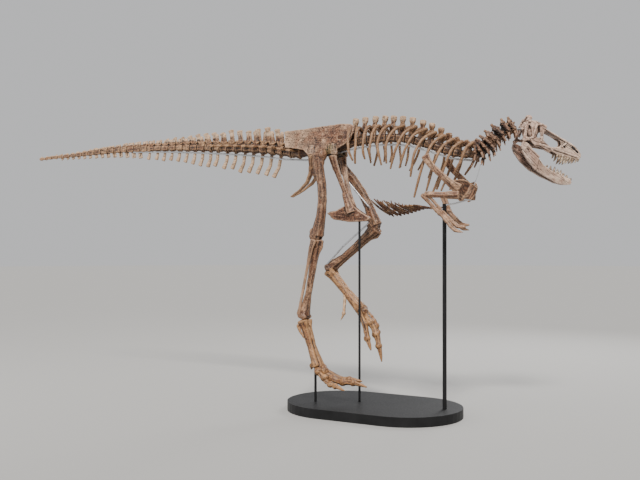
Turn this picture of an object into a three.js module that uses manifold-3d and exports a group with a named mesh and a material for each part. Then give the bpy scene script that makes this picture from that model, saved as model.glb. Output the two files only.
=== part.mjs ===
// Skeleton of a tyrannosaurid dinosaur, mounted at life size on a flat base with poles and rods.
// Millimetres. +X runs towards the head along the base, +Y to the animal's left, +Z up.
// The origin is the centre of the base's underside.

import * as THREE from 'three';
import { mergeVertices } from 'three/addons/utils/BufferGeometryUtils.js';
import Module from 'manifold-3d';

const wasm = await Module();
wasm.setup();

// Driving dimensions

const GAP = 0.35;
const RIGHT = -1;
const LEFT = 1;

// Base and poles
const BASE_LENGTH = 1720;
const BASE_WIDTH = 1080;
const BASE_HEIGHT = 88;
const FRONT_POLE = { x: 696, y: 50, top: 1955, radius: 19 };
const REAR_POLE = { x: -146, y: 0, top: 1830, radius: 11 };
const FOOT_POLE = { x: -512, y: -205, top: 432, radius: 12 };
const ROD_RADIUS = 7;
const SPINE_ROD_FRONT_X = 985;
const SPINE_ROD_SPLIT_X = -510;
const TAIL_ROD_END_X = -2960;
const SPINE_ROD_DEPTH = [70, 62, 60, 57, 51];
const TAIL_ROD_DEPTH = [34, 44, 60, 74, 82, 72];
const TAIL_ROD_BESIDE = [-13, -14, -15, -16, -16, -16, -16, 0];
const THIGH_ROD = [[-366, 86, 2252], [-224, 99, 2090], [-104, 106, 1950], [-74, 124, 1916]];
const SHIN_ROD = [[-92, 106, 1796], [-380, 116, 1572], [-604, 172, 1377]];
const SKULL_ROD = [[1298, 184, 2604], [1326, 214, 2611], [1356, 248, 2616]];
const SKULL_ROD_RADIUS = 10;
const CHEST_BAR = [[690, 50, 1944], [800, 40, 1954], [930, 24, 1984]];
const CHEST_BAR_RADIUS = 8;
const CHEST_CROSS_BAR = [[930, -96, 1986], [930, 96, 1986]];
const SHOULDER_WIRE = [[1074, -50, 2296], [1050, -46, 2210], [1008, -40, 2104]];
const SHOULDER_WIRE_RADIUS = 4;

// Backbone: its centre line, and where its regions part
const BACKBONE = [
  [-4440, 0, 2606], [-3900, 0, 2624], [-3170, 0, 2646], [-2314, 0, 2627], [-1529, 0, 2583],
  [-1101, 0, 2539], [-773, 0, 2491], [-510, 0, 2518], [-248, 0, 2556], [20, 0, 2580],
  [327, 0, 2566], [595, 0, 2486], [816, 0, 2408], [1004, 0, 2384], [1066, 5, 2404],
  [1126, 20, 2455], [1180, 52, 2517], [1230, 98, 2570], [1306, 194, 2606],
];
const TAIL_END_X = -4440;
const SACRUM_REAR_X = -790;
const SACRUM_FRONT_X = -252;
const NECK_ROOT_X = 1002;
const NECK_SPLIT_X = 1152;
const NECK_END_X = 1306;
const TAIL_COUNTS = [9, 9, 9, 10];
const SACRUM_COUNT = 5;
const TRUNK_COUNT = 13;
const NECK_COUNTS = [4, 4];
// How much longer the first tail vertebra is than it would be in an even row
const TAIL_TAPER = 0.17;

// Centra: half width and half height at the rims, from the region's rear end to its front end
const TAIL_CENTRUM = [[9, 11], [14, 17], [22, 26], [33, 40], [44, 56], [50, 63]];
const TRUNK_CENTRUM = [[46, 54], [42, 50], [40, 46], [38, 42]];
const NECK_CENTRUM = [[46, 48], [42, 44], [36, 38]];
const SACRUM_CENTRUM = [46, 52];
const CENTRUM_WAIST = 0.74;

// Neural spines: height of the top above the centre line, rear end to front end
const TAIL_SPINE = [20, 36, 70, 95, 172, 200];
const TALLEST_TAIL_SPINE = 3;
const TRUNK_SPINE = [222, 214, 206, 200, 194, 148, 117];
const TRUNK_LEAN = [50, 46, 44, 10, -30, -36, -50, -60, -36];
const NECK_SPINE = [112, 105, 100, 96];

// Chevrons: length below the centre line at the tail's rear end to its front end
const CHEVRON_DROP = [18, 47, 80, 136, 224, 300];
const FIRST_CHEVRON = 2;
const LAST_FORKED_CHEVRON = 18;
const LAST_CHEVRON = 33;
const LAST_TAIL_WING = 10;

// Ribs, front to rear: drop of the tip below the centre line and sweep of the tip to the rear
const RIB_DROP = [180, 327, 362, 455, 300, 252, 283, 251, 271, 215, 208, 237, 194];
const RIB_SWEEP = [84, 139, 135, 154, 90, 104, 97, 40, -8, 5, -33, -28, -96];
const RIB_REACH = [150, 180, 200, 225, 240, 247, 250, 250, 247, 243, 238, 232, 218];
const RIB_LEAD = [55, 58, 72, 76, 88, 90, 86, 62, 22, 2, 6, -4, 0];
const RIB_MIDDLE = [-23, -60, -62, -62, -46, -30, -28, -36, -28, -10, 16, 36, 50];
const RIB_RISE = [92, 116];
const RIB_TURN_DROP = [60, 105, 118, 150, 86, 60, 84, 70, 66, 110, 92, 66, 80];
const RIB_WIDTH = 12.5;
const RIB_DEPTH = 9;
const NECK_RIB_REACH = [72, 50, 40, 20];
const NECK_RIB_DROP = [104, 104, 92, 64];

// Skull: the place of the jaw joint between its two sides, and how the head is turned
const HEAD_AT = [1328, 220, 2495];
const HEAD_YAW = 46;
const HEAD_PITCH = 14;
const GAPE = 20;
const SKULL_WALL = 13;
const JAW_THICKNESS = 19;
const UPPER_TEETH = 9;
const LOWER_TEETH = 7;

// Limb joints
const HIP = { [RIGHT]: [-505, -168, 2452], [LEFT]: [-493, 162, 2440] };
const KNEE = { [RIGHT]: [-505, -172, 1648], [LEFT]: [-24, 148, 1752] };
const ANKLE = { [RIGHT]: [-655, -186, 872], [LEFT]: [-600, 212, 1336] };
const TOE_ROOT = { [RIGHT]: [-478, -200, 398], [LEFT]: [-236, 212, 948] };
const SHOULDER = { [RIGHT]: [925, -205, 2020], [LEFT]: [925, 205, 2020] };
const ELBOW = { [RIGHT]: [630, -262, 2024], [LEFT]: [612, 236, 2038] };
const WRIST = { [RIGHT]: [755, -214, 1874], [LEFT]: [694, 150, 1898] };
const FIBULA_SHIFT = { [RIGHT]: -26, [LEFT]: 24 };

// Toes and fingers: joints, half width at the root, and length of the claw beside the rest
const TOE_JOINTS = { inner: 2, middle: 3, outer: 4, thumb: 1 };
const TOE_RADIUS = { inner: 32, middle: 37, outer: 31, thumb: 18 };
const TOE_CLAW = 0.42;
const FINGER_CLAWS = [0.36, 0.4];
const JOINT_SHRINK = 0.86;
const JOINT_WAIST = 0.76;

// Belly ribs
const BELLY_ROWS = 12;
const BELLY_REAR_X = 120;
const BELLY_PITCH = 38;

// Materials

function finish(color, roughness, metalness = 0) {
  return new THREE.MeshStandardMaterial({ color, roughness, metalness });
}

const BONE = 0x9c7654;
const PALE_BONE = 0xc9a893;
const DARK_BONE = 0x7d5b45;
const CREAM_BONE = 0xc4ad8c;
const BLACK_PAINT = 0x0d0d0e;
const STEEL = 0x8b9094;

// Small vector helpers

const vec = ([x, y, z]) => new THREE.Vector3(x, y, z);
const rad = THREE.MathUtils.degToRad;
const lerp = THREE.MathUtils.lerp;

// Value of a list of key values at a fraction from 0 to 1, straight between neighbours
function along(keys, fraction) {
  const place = THREE.MathUtils.clamp(fraction, 0, 1) * (keys.length - 1);
  const low = Math.min(Math.floor(place), keys.length - 2);
  const part = place - low;
  if (Array.isArray(keys[0])) {
    return keys[low].map((value, i) => lerp(value, keys[low + 1][i], part));
  }
  return lerp(keys[low], keys[low + 1], part);
}

// Seeded draw between -1 and 1, so that like bones differ a little
let seed = 20417;
function vary() {
  seed = (seed * 1103515245 + 12345) % 2147483648;
  return (seed / 2147483648) * 2 - 1;
}

// Solids

function toSolid(geometry) {
  const bare = new THREE.BufferGeometry();
  bare.setAttribute('position', geometry.getAttribute('position'));
  bare.setIndex(geometry.getIndex());
  const merged = mergeVertices(bare, 1e-3);
  const points = merged.getAttribute('position');
  const corners = merged.getIndex().array;
  const [a, b, c] = [new THREE.Vector3(), new THREE.Vector3(), new THREE.Vector3()];
  let volume = 0;
  for (let i = 0; i < corners.length; i += 3) {
    a.fromBufferAttribute(points, corners[i]);
    b.fromBufferAttribute(points, corners[i + 1]);
    c.fromBufferAttribute(points, corners[i + 2]);
    volume += a.dot(b.cross(c));
  }
  const triVerts = Uint32Array.from(corners);
  if (volume < 0) {
    for (let i = 0; i < triVerts.length; i += 3) {
      [triVerts[i], triVerts[i + 1]] = [triVerts[i + 1], triVerts[i]];
    }
  }
  const vertProperties = Float32Array.from(points.array);
  return new wasm.Manifold(new wasm.Mesh({ numProp: 3, vertProperties, triVerts }));
}

function largest(solid) {
  return solid.decompose().reduce((best, piece) => (piece.volume() > best.volume() ? piece : best));
}

function fuse(pieces) {
  return largest(wasm.Manifold.union(pieces.flat(Infinity)));
}

// A cylinder bent through rings, each with a centre, two directions and two half sizes
function skin(rings, sides, square = false, dome = 0) {
  const start = square ? Math.PI / 4 : 0;
  const stretch = square ? Math.SQRT2 : 1;
  const geometry = new THREE.CylinderGeometry(1, 1, 1, sides, rings.length - 1, false, start);
  const points = geometry.getAttribute('position');
  for (let i = 0; i < points.count; i += 1) {
    const [x, y, z] = [points.getX(i), points.getY(i), points.getZ(i)];
    const ring = rings[Math.round((y + 0.5) * (rings.length - 1))];
    const onAxis = x * x + z * z < 1e-6;
    const push = onAxis ? Math.sign(y) * dome * Math.min(ring.a, ring.b) : 0;
    const place = ring.p.clone()
      .addScaledVector(ring.wide, x * ring.a * stretch)
      .addScaledVector(ring.deep, z * ring.b * stretch)
      .addScaledVector(ring.along, push);
    points.setXYZ(i, place.x, place.y, place.z);
  }
  return toSolid(geometry);
}

function smoothLine(points) {
  return new THREE.CatmullRomCurve3(points.map(vec), false, 'catmullrom', 0.5);
}

// A tapered bone along a smooth path, with its wide side turned towards a direction
function loft({
  path, size, wide = [1, 0, 0], sides = 8, rings = path.length, square = false, dome = 0.4,
}) {
  const line = smoothLine(path);
  const sizes = smoothLine(size.map(([a, b]) => [a, b, 0]));
  const list = [];
  for (let k = 0; k < rings; k += 1) {
    const t = k / (rings - 1);
    const tangent = line.getTangent(t);
    const across = vec(wide).addScaledVector(tangent, -vec(wide).dot(tangent)).normalize();
    const { x: a, y: b } = sizes.getPoint(t);
    list.push({
      p: line.getPoint(t),
      along: tangent,
      wide: across,
      deep: across.clone().cross(tangent),
      a: Math.max(a, 0.6),
      b: Math.max(b, 0.6),
    });
  }
  return skin(list, sides, square, dome);
}

function ball(at, radii, sides = 8, rows = 5) {
  const geometry = new THREE.SphereGeometry(1, sides, rows);
  geometry.scale(...radii);
  geometry.translate(...at);
  return toSolid(geometry);
}

// A closed line of points that runs the asked way round
function turned(points, clockwise) {
  const list = points.map(([x, y]) => new THREE.Vector2(x, y));
  return THREE.ShapeUtils.isClockWise(list) === clockwise ? list : list.reverse();
}

// A flat outline with thickness, each of its points set by a placing rule (x, y, depth 0 to 1)
function plate(outline, place, holes = []) {
  const shape = new THREE.Shape(turned(outline, false));
  for (const hole of holes) {
    shape.holes.push(new THREE.Path(turned(hole, true)));
  }
  const geometry = new THREE.ExtrudeGeometry(shape, { depth: 1, steps: 1, bevelEnabled: false });
  const points = geometry.getAttribute('position');
  for (let i = 0; i < points.count; i += 1) {
    points.setXYZ(i, ...place(points.getX(i), points.getY(i), points.getZ(i)));
  }
  return toSolid(geometry);
}

// The same solid with every face moved out by a small distance
function grown(solid, distance) {
  const mesh = solid.getMesh();
  const { vertProperties, triVerts, numProp } = mesh;
  const count = vertProperties.length / numProp;
  const sums = Array.from({ length: count }, () => ({ m: new Array(6).fill(0), v: [0, 0, 0] }));
  const corner = (i) => new THREE.Vector3().fromArray(vertProperties, triVerts[i] * numProp);
  for (let i = 0; i < triVerts.length; i += 3) {
    const [a, b, c] = [corner(i), corner(i + 1), corner(i + 2)];
    const normal = b.clone().sub(a).cross(c.clone().sub(a));
    const weight = Math.sqrt(normal.length());
    if (weight < 1e-3) {
      continue;
    }
    const { x, y, z } = normal.normalize();
    for (let j = 0; j < 3; j += 1) {
      const { m, v } = sums[triVerts[i + j]];
      [x * x, x * y, x * z, y * y, y * z, z * z].forEach((value, k) => {
        m[k] += weight * value;
      });
      [x, y, z].forEach((value, k) => {
        v[k] += weight * value * distance;
      });
    }
  }
  const moved = Float32Array.from(vertProperties);
  sums.forEach(({ m, v }, i) => {
    const soft = (m[0] + m[3] + m[5]) * 0.01 + 1e-9;
    const matrix = new THREE.Matrix3().set(
      m[0] + soft, m[1], m[2],
      m[1], m[3] + soft, m[4],
      m[2], m[4], m[5] + soft,
    ).invert();
    const shift = vec(v).applyMatrix3(matrix).clampLength(0, distance * 2.5);
    moved[i * numProp] += shift.x;
    moved[i * numProp + 1] += shift.y;
    moved[i * numProp + 2] += shift.z;
  });
  return new wasm.Manifold(new wasm.Mesh({ numProp, vertProperties: moved, triVerts }));
}

// What is left of a solid when its neighbours, each with the touching gap round it, are cut out
function seat(solid, neighbours) {
  return neighbours.reduce((left, other) => largest(left.subtract(grown(other, GAP))), solid);
}

const model = new THREE.Group();

function addNode(name, solid, color, roughness = 0.72, metalness = 0) {
  const { vertProperties, triVerts } = solid.getMesh();
  const geometry = new THREE.BufferGeometry();
  geometry.setAttribute('position', new THREE.BufferAttribute(vertProperties, 3));
  geometry.setIndex(new THREE.BufferAttribute(triVerts, 1));
  geometry.computeVertexNormals();
  const mesh = new THREE.Mesh(geometry, finish(color, roughness, metalness));
  mesh.name = name;
  model.add(mesh);
  return solid;
}

// Backbone frames

const backbone = new THREE.CatmullRomCurve3(BACKBONE.map(vec), false, 'centripetal');
backbone.arcLengthDivisions = 800;

// Fraction of the backbone's length at which it passes a given X
function fractionAt(x) {
  let [low, high] = [0, 1];
  for (let k = 0; k < 40; k += 1) {
    const middle = (low + high) / 2;
    if (backbone.getPointAt(middle).x < x) {
      low = middle;
    } else {
      high = middle;
    }
  }
  return (low + high) / 2;
}

// Axes on the backbone: centre, forward, left and up, and a place from offsets along them
function backboneFrame(fraction) {
  const p = backbone.getPointAt(fraction);
  const forward = backbone.getTangentAt(fraction);
  const left = new THREE.Vector3(0, 0, 1).cross(forward).normalize();
  const up = forward.clone().cross(left);
  const at = (f, l, u) => p.clone()
    .addScaledVector(forward, f)
    .addScaledVector(left, l)
    .addScaledVector(up, u)
    .toArray();
  return { p, forward, left, up, at };
}

// Spool-shaped centra in one row, each wide at its rims and narrow at its waist
function centra(from, to, count, sizeAt, sides = 6) {
  const rings = [];
  const trim = (GAP / 2) / backbone.getLength();
  for (let k = 0; k <= 2 * count; k += 1) {
    const part = k / (2 * count);
    const fraction = THREE.MathUtils.clamp(lerp(from, to, part), from + trim, to - trim);
    const { p, forward, left, up } = backboneFrame(fraction);
    const scale = k % 2 === 0 ? 1 : CENTRUM_WAIST;
    const [a, b] = sizeAt(part).map((value) => value * scale);
    rings.push({ p, along: forward, wide: left, deep: up.clone().negate(), a, b });
  }
  return skin(rings, sides, sides === 4, 0);
}

// A blade rising from a vertebra: broad at its root, narrow at its neck, with a knobbed top
function spineBlade(frame, height, halfLength, halfThickness, lean, root) {
  const neck = height > 150 ? [[0.45, 0.8, 0.8]] : [];
  const rows = [[0, 1.15, 1.2], ...neck, [0.78, 0.74, 0.9], [1, 1.02, 1.5]];
  return loft({
    path: rows.map(([part]) => frame.at(lean * part * part, 0, lerp(root, height, part))),
    size: rows.map(([, length, thickness]) => [halfLength * length, halfThickness * thickness]),
    wide: frame.forward.toArray(),
    sides: 4,
    square: true,
    dome: 0.4,
  });
}

// A flat bar out from a vertebra, between two places given as forward, outward and up
function crossBar(frame, start, end, half) {
  return loft({
    path: [frame.at(...start), frame.at(...end)],
    size: [half, half],
    wide: frame.forward.toArray(),
    sides: 4,
    square: true,
    dome: 0,
  });
}

// The pair of bars of one vertebra, right tip to left tip
function wings(frame, [back, reach, rise], half) {
  return crossBar(frame, [back, -reach, rise], [back, reach, rise], half);
}

// Stand

function stadium(length, width) {
  const shape = new THREE.Shape();
  const radius = width / 2;
  const straight = length / 2 - radius;
  shape.absarc(straight, 0, radius, -Math.PI / 2, Math.PI / 2);
  shape.absarc(-straight, 0, radius, Math.PI / 2, Math.PI * 1.5);
  return shape;
}

function standBase() {
  return toSolid(new THREE.ExtrudeGeometry(stadium(BASE_LENGTH, BASE_WIDTH), {
    depth: BASE_HEIGHT,
    bevelEnabled: false,
    curveSegments: 13,
  }));
}

function pole({ x, y, top, radius }, sides = 12) {
  const geometry = new THREE.CylinderGeometry(radius, radius, top - BASE_HEIGHT - GAP, sides);
  geometry.rotateX(Math.PI / 2);
  geometry.translate(x, y, (top + BASE_HEIGHT + GAP) / 2);
  return toSolid(geometry);
}

function rod(path, radius = ROD_RADIUS, sides = 6, rings = path.length) {
  return loft({
    path,
    size: path.map(() => [radius, radius]),
    wide: [0, 0.1, 1],
    sides,
    rings,
    dome: 0,
  });
}

// Rod that follows the underside of the centra between two places on the backbone
function underRod(fromX, toX, steps, depthAt, besideAt = () => 0) {
  const path = [];
  for (let k = 0; k <= steps; k += 1) {
    const frame = backboneFrame(fractionAt(lerp(fromX, toX, k / steps)));
    path.push(frame.at(0, besideAt(k / steps), -depthAt(k / steps)));
  }
  return rod(path);
}

// Tail

const tailFrom = fractionAt(TAIL_END_X);
const tailTo = fractionAt(SACRUM_REAR_X);
const tailTotal = TAIL_COUNTS.reduce((sum, count) => sum + count, 0);

// Vertebrae are numbered from the hips. Their length falls away towards the tip.
function tailMark(number) {
  const part = number / tailTotal;
  return lerp(tailTo, tailFrom, part * (1 + TAIL_TAPER - TAIL_TAPER * part));
}

function tailVertebra(number, size) {
  const fraction = (tailMark(number) + tailMark(number + 1)) / 2;
  const length = (tailMark(number) - tailMark(number + 1)) * backbone.getLength();
  const place = 1 - (number + 0.5) / tailTotal;
  const frame = backboneFrame(fraction);
  const pieces = [];
  const tall = number === TALLEST_TAIL_SPINE ? 1.2 : 1;
  const height = along(TAIL_SPINE, place) * (1 + 0.1 * vary()) * tall;
  const [halfWidth, halfHeight] = size;
  const lean = -0.26 * length;
  const halfLength = Math.max(length * 0.24, 6);
  const halfThickness = Math.max(halfWidth * 0.24, 2.5);
  if (number > LAST_FORKED_CHEVRON) {
    const drop = number < LAST_CHEVRON ? along(CHEVRON_DROP, place) : halfHeight;
    return crossBar(frame, [4, 0, -drop], [lean, 0, height], [halfLength, halfThickness]);
  }
  pieces.push(spineBlade(frame, height, halfLength, halfThickness, lean, halfHeight * 0.5));
  if (number < LAST_TAIL_WING) {
    const reach = lerp(150, halfWidth + 14, number / LAST_TAIL_WING);
    pieces.push(wings(frame, [-14, reach, 12], [length * 0.2, 8]));
  }
  return pieces;
}

// A chevron hangs between two vertebrae, beside the rod
function chevron(number, size, shift) {
  const place = 1 - number / tailTotal;
  const total = backbone.getLength();
  const length = (tailMark(number) - tailMark(number + 1)) * total;
  const frame = backboneFrame(tailMark(number) + shift / total);
  const [, halfHeight] = size;
  const drop = along(CHEVRON_DROP, place) * (1 + 0.06 * vary());
  const thick = THREE.MathUtils.clamp(length * 0.11, 5, 12);
  const depth = Math.max(drop, halfHeight + 30);
  return loft({
    path: [
      frame.at(0, 0, -halfHeight * 0.5),
      frame.at(-0.02 * depth, 0, -0.62 * depth),
      frame.at(-0.2 * depth + 4, 0, -depth),
    ],
    size: [[thick * 1.3, thick * 0.75], [thick * 1.1, thick * 0.7], [thick * 1.6, thick * 0.9]],
    wide: frame.forward.toArray(),
    sides: 4,
    square: true,
    dome: 0.3,
  });
}

function tailLength(first, count) {
  const from = tailMark(first + count);
  const to = tailMark(first);
  const [rear, front] = [1 - (first + count) / tailTotal, 1 - first / tailTotal];
  const sizeAt = (part) => along(TAIL_CENTRUM, lerp(rear, front, part));
  const sides = first >= LAST_FORKED_CHEVRON ? 4 : 6;
  const pieces = [centra(from, to, count, sizeAt, sides)];
  for (let number = first; number < first + count; number += 1) {
    const size = along(TAIL_CENTRUM, 1 - (number + 0.5) / tailTotal);
    pieces.push(tailVertebra(number, size));
    if (number >= FIRST_CHEVRON && number <= LAST_FORKED_CHEVRON) {
      pieces.push(chevron(number, size, number === first ? -16 : 0));
    }
  }
  return fuse(pieces);
}

// Trunk and ribs

const trunkFrom = fractionAt(SACRUM_FRONT_X);
const trunkTo = fractionAt(NECK_ROOT_X);

// A rib leaves the top of its vertebra, turns down where it is widest and ends in a slim tip
function rib(frame, side, index) {
  const drop = RIB_DROP[index] * (side === LEFT ? 0.95 + 0.08 * vary() : 1);
  const reach = RIB_REACH[index];
  const lead = RIB_LEAD[index];
  const middle = RIB_MIDDLE[index];
  const rise = along(RIB_RISE, index / (TRUNK_COUNT - 1));
  const turn = -RIB_TURN_DROP[index];
  const tip = -12 - RIB_SWEEP[index];
  const { x, z } = frame.p;
  const path = [
    frame.at(0, side * 6, rise - 26),
    [x + lead, side * 84, z + rise],
    [x + lerp(lead, middle, 0.56), side * lerp(96, reach, 0.66), z + lerp(rise, turn, 0.34)],
    [x + middle, side * reach, z + turn],
    [x + lerp(middle, tip, 0.5), side * reach * 0.98, z + lerp(turn, -drop, 0.52)],
    [x + tip, side * lerp(reach, 90, 0.22), z - drop],
  ];
  const scales = [1.25, 1.35, 1.1, 0.98, 0.95, 0.75];
  const size = scales.map((scale) => [RIB_WIDTH * scale, RIB_DEPTH * scale]);
  return loft({ path, size, wide: [1, 0, 0.2], sides: 4, square: true, dome: 0.3 });
}

function trunkVertebra(frame, place, side, index) {
  const height = along(TRUNK_SPINE, place);
  const lean = along(TRUNK_LEAN, place);
  const rows = [[0, 31, 25], [0.7, 19, 11], [0.86, 28, 16], [1, 26, 15]];
  return [
    loft({
      path: rows.map(([part]) => frame.at(lean * part, 0, lerp(10, height, part))),
      size: rows.map(([, length, thickness]) => [length, thickness]),
      wide: frame.forward.toArray(),
      sides: 4,
      square: true,
      dome: 0.5,
    }),
    rib(frame, side, index),
  ];
}

function halfSpace(side) {
  const geometry = new THREE.BoxGeometry(2000, 800, 2000);
  geometry.translate(400, side * (400 + GAP / 2), 2400);
  return toSolid(geometry);
}

function ribCage(side) {
  const sizeAt = (part) => along(TRUNK_CENTRUM, part);
  const pieces = [centra(trunkFrom, trunkTo, TRUNK_COUNT, sizeAt)];
  for (let k = 0; k < TRUNK_COUNT; k += 1) {
    const place = (k + 0.5) / TRUNK_COUNT;
    const frame = backboneFrame(lerp(trunkFrom, trunkTo, place));
    pieces.push(trunkVertebra(frame, place, side, TRUNK_COUNT - 1 - k));
  }
  return largest(fuse(pieces).intersect(halfSpace(side)));
}

// Neck

function neckVertebra(frame, place, length) {
  const height = along(NECK_SPINE, place);
  return [
    wings(frame, [-8, 60, 16], [length * 0.34, 15]),
    loft({
      path: [frame.at(0, 0, 8), frame.at(-6, 0, height)],
      size: [[length * 0.34, 27], [length * 0.3, 11]],
      wide: frame.forward.toArray(),
      sides: 4,
      square: true,
      dome: 0,
    }),
  ];
}

function neckRib(frame, side, reach, drop) {
  return loft({
    path: [frame.at(6, side * 22, -14), frame.at(-reach, side * 52, -drop)],
    size: [[16, 12], [7, 5]],
    wide: frame.forward.toArray(),
    sides: 4,
    dome: 0,
  });
}

function neckLength(fromX, toX, count, partFrom, partTo) {
  const [from, to] = [fractionAt(fromX), fractionAt(toX)];
  const length = ((to - from) * backbone.getLength()) / count;
  const sizeAt = (part) => along(NECK_CENTRUM, lerp(partFrom, partTo, part));
  const pieces = [centra(from, to, count, sizeAt)];
  for (let k = 0; k < count; k += 1) {
    const part = (k + 0.5) / count;
    const frame = backboneFrame(lerp(from, to, part));
    const place = lerp(partFrom, partTo, part);
    pieces.push(neckVertebra(frame, place, length));
    for (const side of [RIGHT, LEFT]) {
      pieces.push(neckRib(frame, side, along(NECK_RIB_REACH, place), along(NECK_RIB_DROP, place)));
    }
  }
  return fuse(pieces);
}

// Head: local axes at the jaw joint, forward, left and up

function headFrame(pitch) {
  const forward = new THREE.Vector3(
    Math.cos(rad(pitch)) * Math.cos(rad(HEAD_YAW)),
    Math.cos(rad(pitch)) * Math.sin(rad(HEAD_YAW)),
    -Math.sin(rad(pitch)),
  );
  const left = new THREE.Vector3(-Math.sin(rad(HEAD_YAW)), Math.cos(rad(HEAD_YAW)), 0);
  const up = forward.clone().cross(left);
  const at = (f, l, u) => vec(HEAD_AT)
    .addScaledVector(forward, f)
    .addScaledVector(left, l)
    .addScaledVector(up, u)
    .toArray();
  return { forward, left, up, at };
}

// Side outline of the skull, from the jaw joint forward along the tooth row and back over the roof
const SKULL_ROOF = [
  [640, 42], [632, 68], [602, 94], [560, 117], [500, 136], [417, 147], [311, 164], [249, 179],
  [220, 181], [210, 207], [173, 215], [110, 217], [66, 215], [34, 208],
];
const SKULL_OUTLINE = [
  [2, 5], [18, 0], [34, 22], [76, 32], [96, 14], [124, 4], [156, 12], [190, 26], [232, 30],
  [287, 16], [370, -4], [459, -8], [520, 3], [568, 6], [622, 13],
  ...SKULL_ROOF,
  [12, 190], [-2, 134], [4, 90], [-2, 50],
];
const ORBIT = [[92, 178], [112, 190], [143, 190], [172, 94], [150, 77], [124, 77]];
const TEMPORAL_OPENING = [[20, 154], [36, 164], [60, 152], [80, 74], [60, 50], [26, 52], [22, 100]];
const ANTORBITAL_OPENING = [
  [190, 150], [232, 166], [330, 142], [396, 120], [412, 94], [396, 66], [340, 46], [298, 38],
  [212, 74],
];
const SNOUT_OPENING = [[436, 72], [444, 88], [458, 76]];
const NARIS = [[522, 112], [560, 104], [602, 70], [590, 62], [560, 80]];
const SKULL_OPENINGS = [ORBIT, TEMPORAL_OPENING, ANTORBITAL_OPENING, SNOUT_OPENING, NARIS];

const SKULL_LENGTH = 640;
const SKULL_HALF_WIDTH_LOW = [88, 88, 73, 55, 45, 39, 35, 30, 20];
const SKULL_HALF_WIDTH_TOP = [62, 72, 68, 40, 26, 22, 20, 18, 15];
const SKULL_TOP = 215;

function skullHalfWidth(x, z) {
  const part = x / SKULL_LENGTH;
  const height = THREE.MathUtils.clamp(z / SKULL_TOP, 0, 1);
  return lerp(along(SKULL_HALF_WIDTH_LOW, part), along(SKULL_HALF_WIDTH_TOP, part), height);
}

function tooth(frame, x, y, z, length, width) {
  const sign = Math.sign(length);
  return loft({
    path: [frame.at(x, y, z + sign * 8), frame.at(x - 7, y, z - length)],
    size: [[width, width * 0.7], [1, 1]],
    wide: frame.forward.toArray(),
    sides: 3,
    dome: 0,
  });
}

function skull() {
  const frame = headFrame(HEAD_PITCH);
  const pieces = [];
  for (const side of [RIGHT, LEFT]) {
    const wall = (x, z, depth) => {
      const outward = skullHalfWidth(x, z) - SKULL_WALL * (1 - depth);
      return frame.at(x, side * outward, z);
    };
    pieces.push(plate(SKULL_OUTLINE, wall, SKULL_OPENINGS));
    // Wing of the back of the head
    pieces.push(loft({
      path: [frame.at(34, side * 20, 150), frame.at(14, side * 68, 142)],
      size: [[12, 26], [8, 18]],
      wide: frame.forward.toArray(),
      sides: 4,
      square: true,
      dome: 0,
    }));
    // Teeth of one side, from the rear of the row to the tip
    for (let k = 0; k < UPPER_TEETH; k += 1) {
      const part = k / (UPPER_TEETH - 1);
      const x = lerp(388, 620, part);
      const z = x > 470 ? lerp(-6, 12, (x - 470) / 150) : -5;
      const length = along([24, 38, 48, 44, 36, 28, 20], part) * (1 + 0.25 * vary());
      const outward = skullHalfWidth(x, 0) - SKULL_WALL / 2;
      pieces.push(tooth(frame, x, side * outward, z, length, 10));
    }
  }
  // Roof between the two walls
  const roofLine = [1, 4, 7, 9, 13].map((i) => SKULL_ROOF[i]);
  pieces.push(loft({
    path: roofLine.map(([x, z]) => frame.at(x, 0, z - 14)),
    size: roofLine.map(([x, z]) => [skullHalfWidth(x, z) - 6, 8]),
    wide: frame.left.toArray(),
    sides: 4,
    square: true,
    dome: 0,
  }));
  // Palate, braincase, crest across the back of the head and the knob that meets the neck
  const palate = [345, 460, 622];
  pieces.push(loft({
    path: palate.map((x) => frame.at(x, 0, 24)),
    size: palate.map((x) => [skullHalfWidth(x, 20) - 4, 8]),
    wide: frame.left.toArray(),
    sides: 4,
    square: true,
    dome: 0,
  }));
  pieces.push(loft({
    path: [frame.at(22, 0, 148), frame.at(150, 0, 172)],
    size: [[50, 48], [26, 30]],
    wide: frame.left.toArray(),
    sides: 6,
  }));
  pieces.push(loft({
    path: [frame.at(50, 0, 172), frame.at(46, 0, 232), frame.at(42, 0, 262)],
    size: [[64, 18], [60, 15], [30, 9]],
    wide: frame.left.toArray(),
    sides: 5,
  }));
  pieces.push(ball(frame.at(10, 0, 128), [19, 19, 17], 6, 4));
  return fuse(pieces);
}

// Side outline of one half of the lower jaw, in the jaw's own axes
const JAW_OUTLINE = [
  [0, -10], [4, 6], [16, 6], [32, 14], [62, 16], [141, 2], [220, -22], [300, -38], [387, -32],
  [478, -10], [560, 14], [612, 24], [636, 12], [638, -12], [577, -58], [498, -90], [361, -114],
  [248, -126], [142, -110], [96, -94], [48, -74], [10, -44],
];
const JAW_OPENING = [[60, -26], [84, -20], [118, -34], [110, -44], [74, -40]];

function jawMiddle(x) {
  return Math.max(82 - 0.128 * x, JAW_THICKNESS / 2 + GAP / 2);
}

function lowerJaw(side) {
  const frame = headFrame(HEAD_PITCH + GAPE);
  const wall = (x, z, depth) => {
    const outward = jawMiddle(x) + JAW_THICKNESS * (depth - 0.5);
    return frame.at(x, side * outward, z);
  };
  const pieces = [plate(JAW_OUTLINE, wall, [JAW_OPENING])];
  for (let k = 0; k < LOWER_TEETH; k += 1) {
    const part = k / (LOWER_TEETH - 1);
    const x = lerp(350, 600, part);
    const z = x > 387 ? lerp(-34, 20, (x - 387) / 220) : -37;
    const length = along([16, 30, 38, 34, 26, 22], part) * (1 + 0.3 * vary());
    pieces.push(tooth(frame, x, side * jawMiddle(x), z, -length, 8.5));
  }
  return fuse(pieces);
}

// Hips

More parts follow.
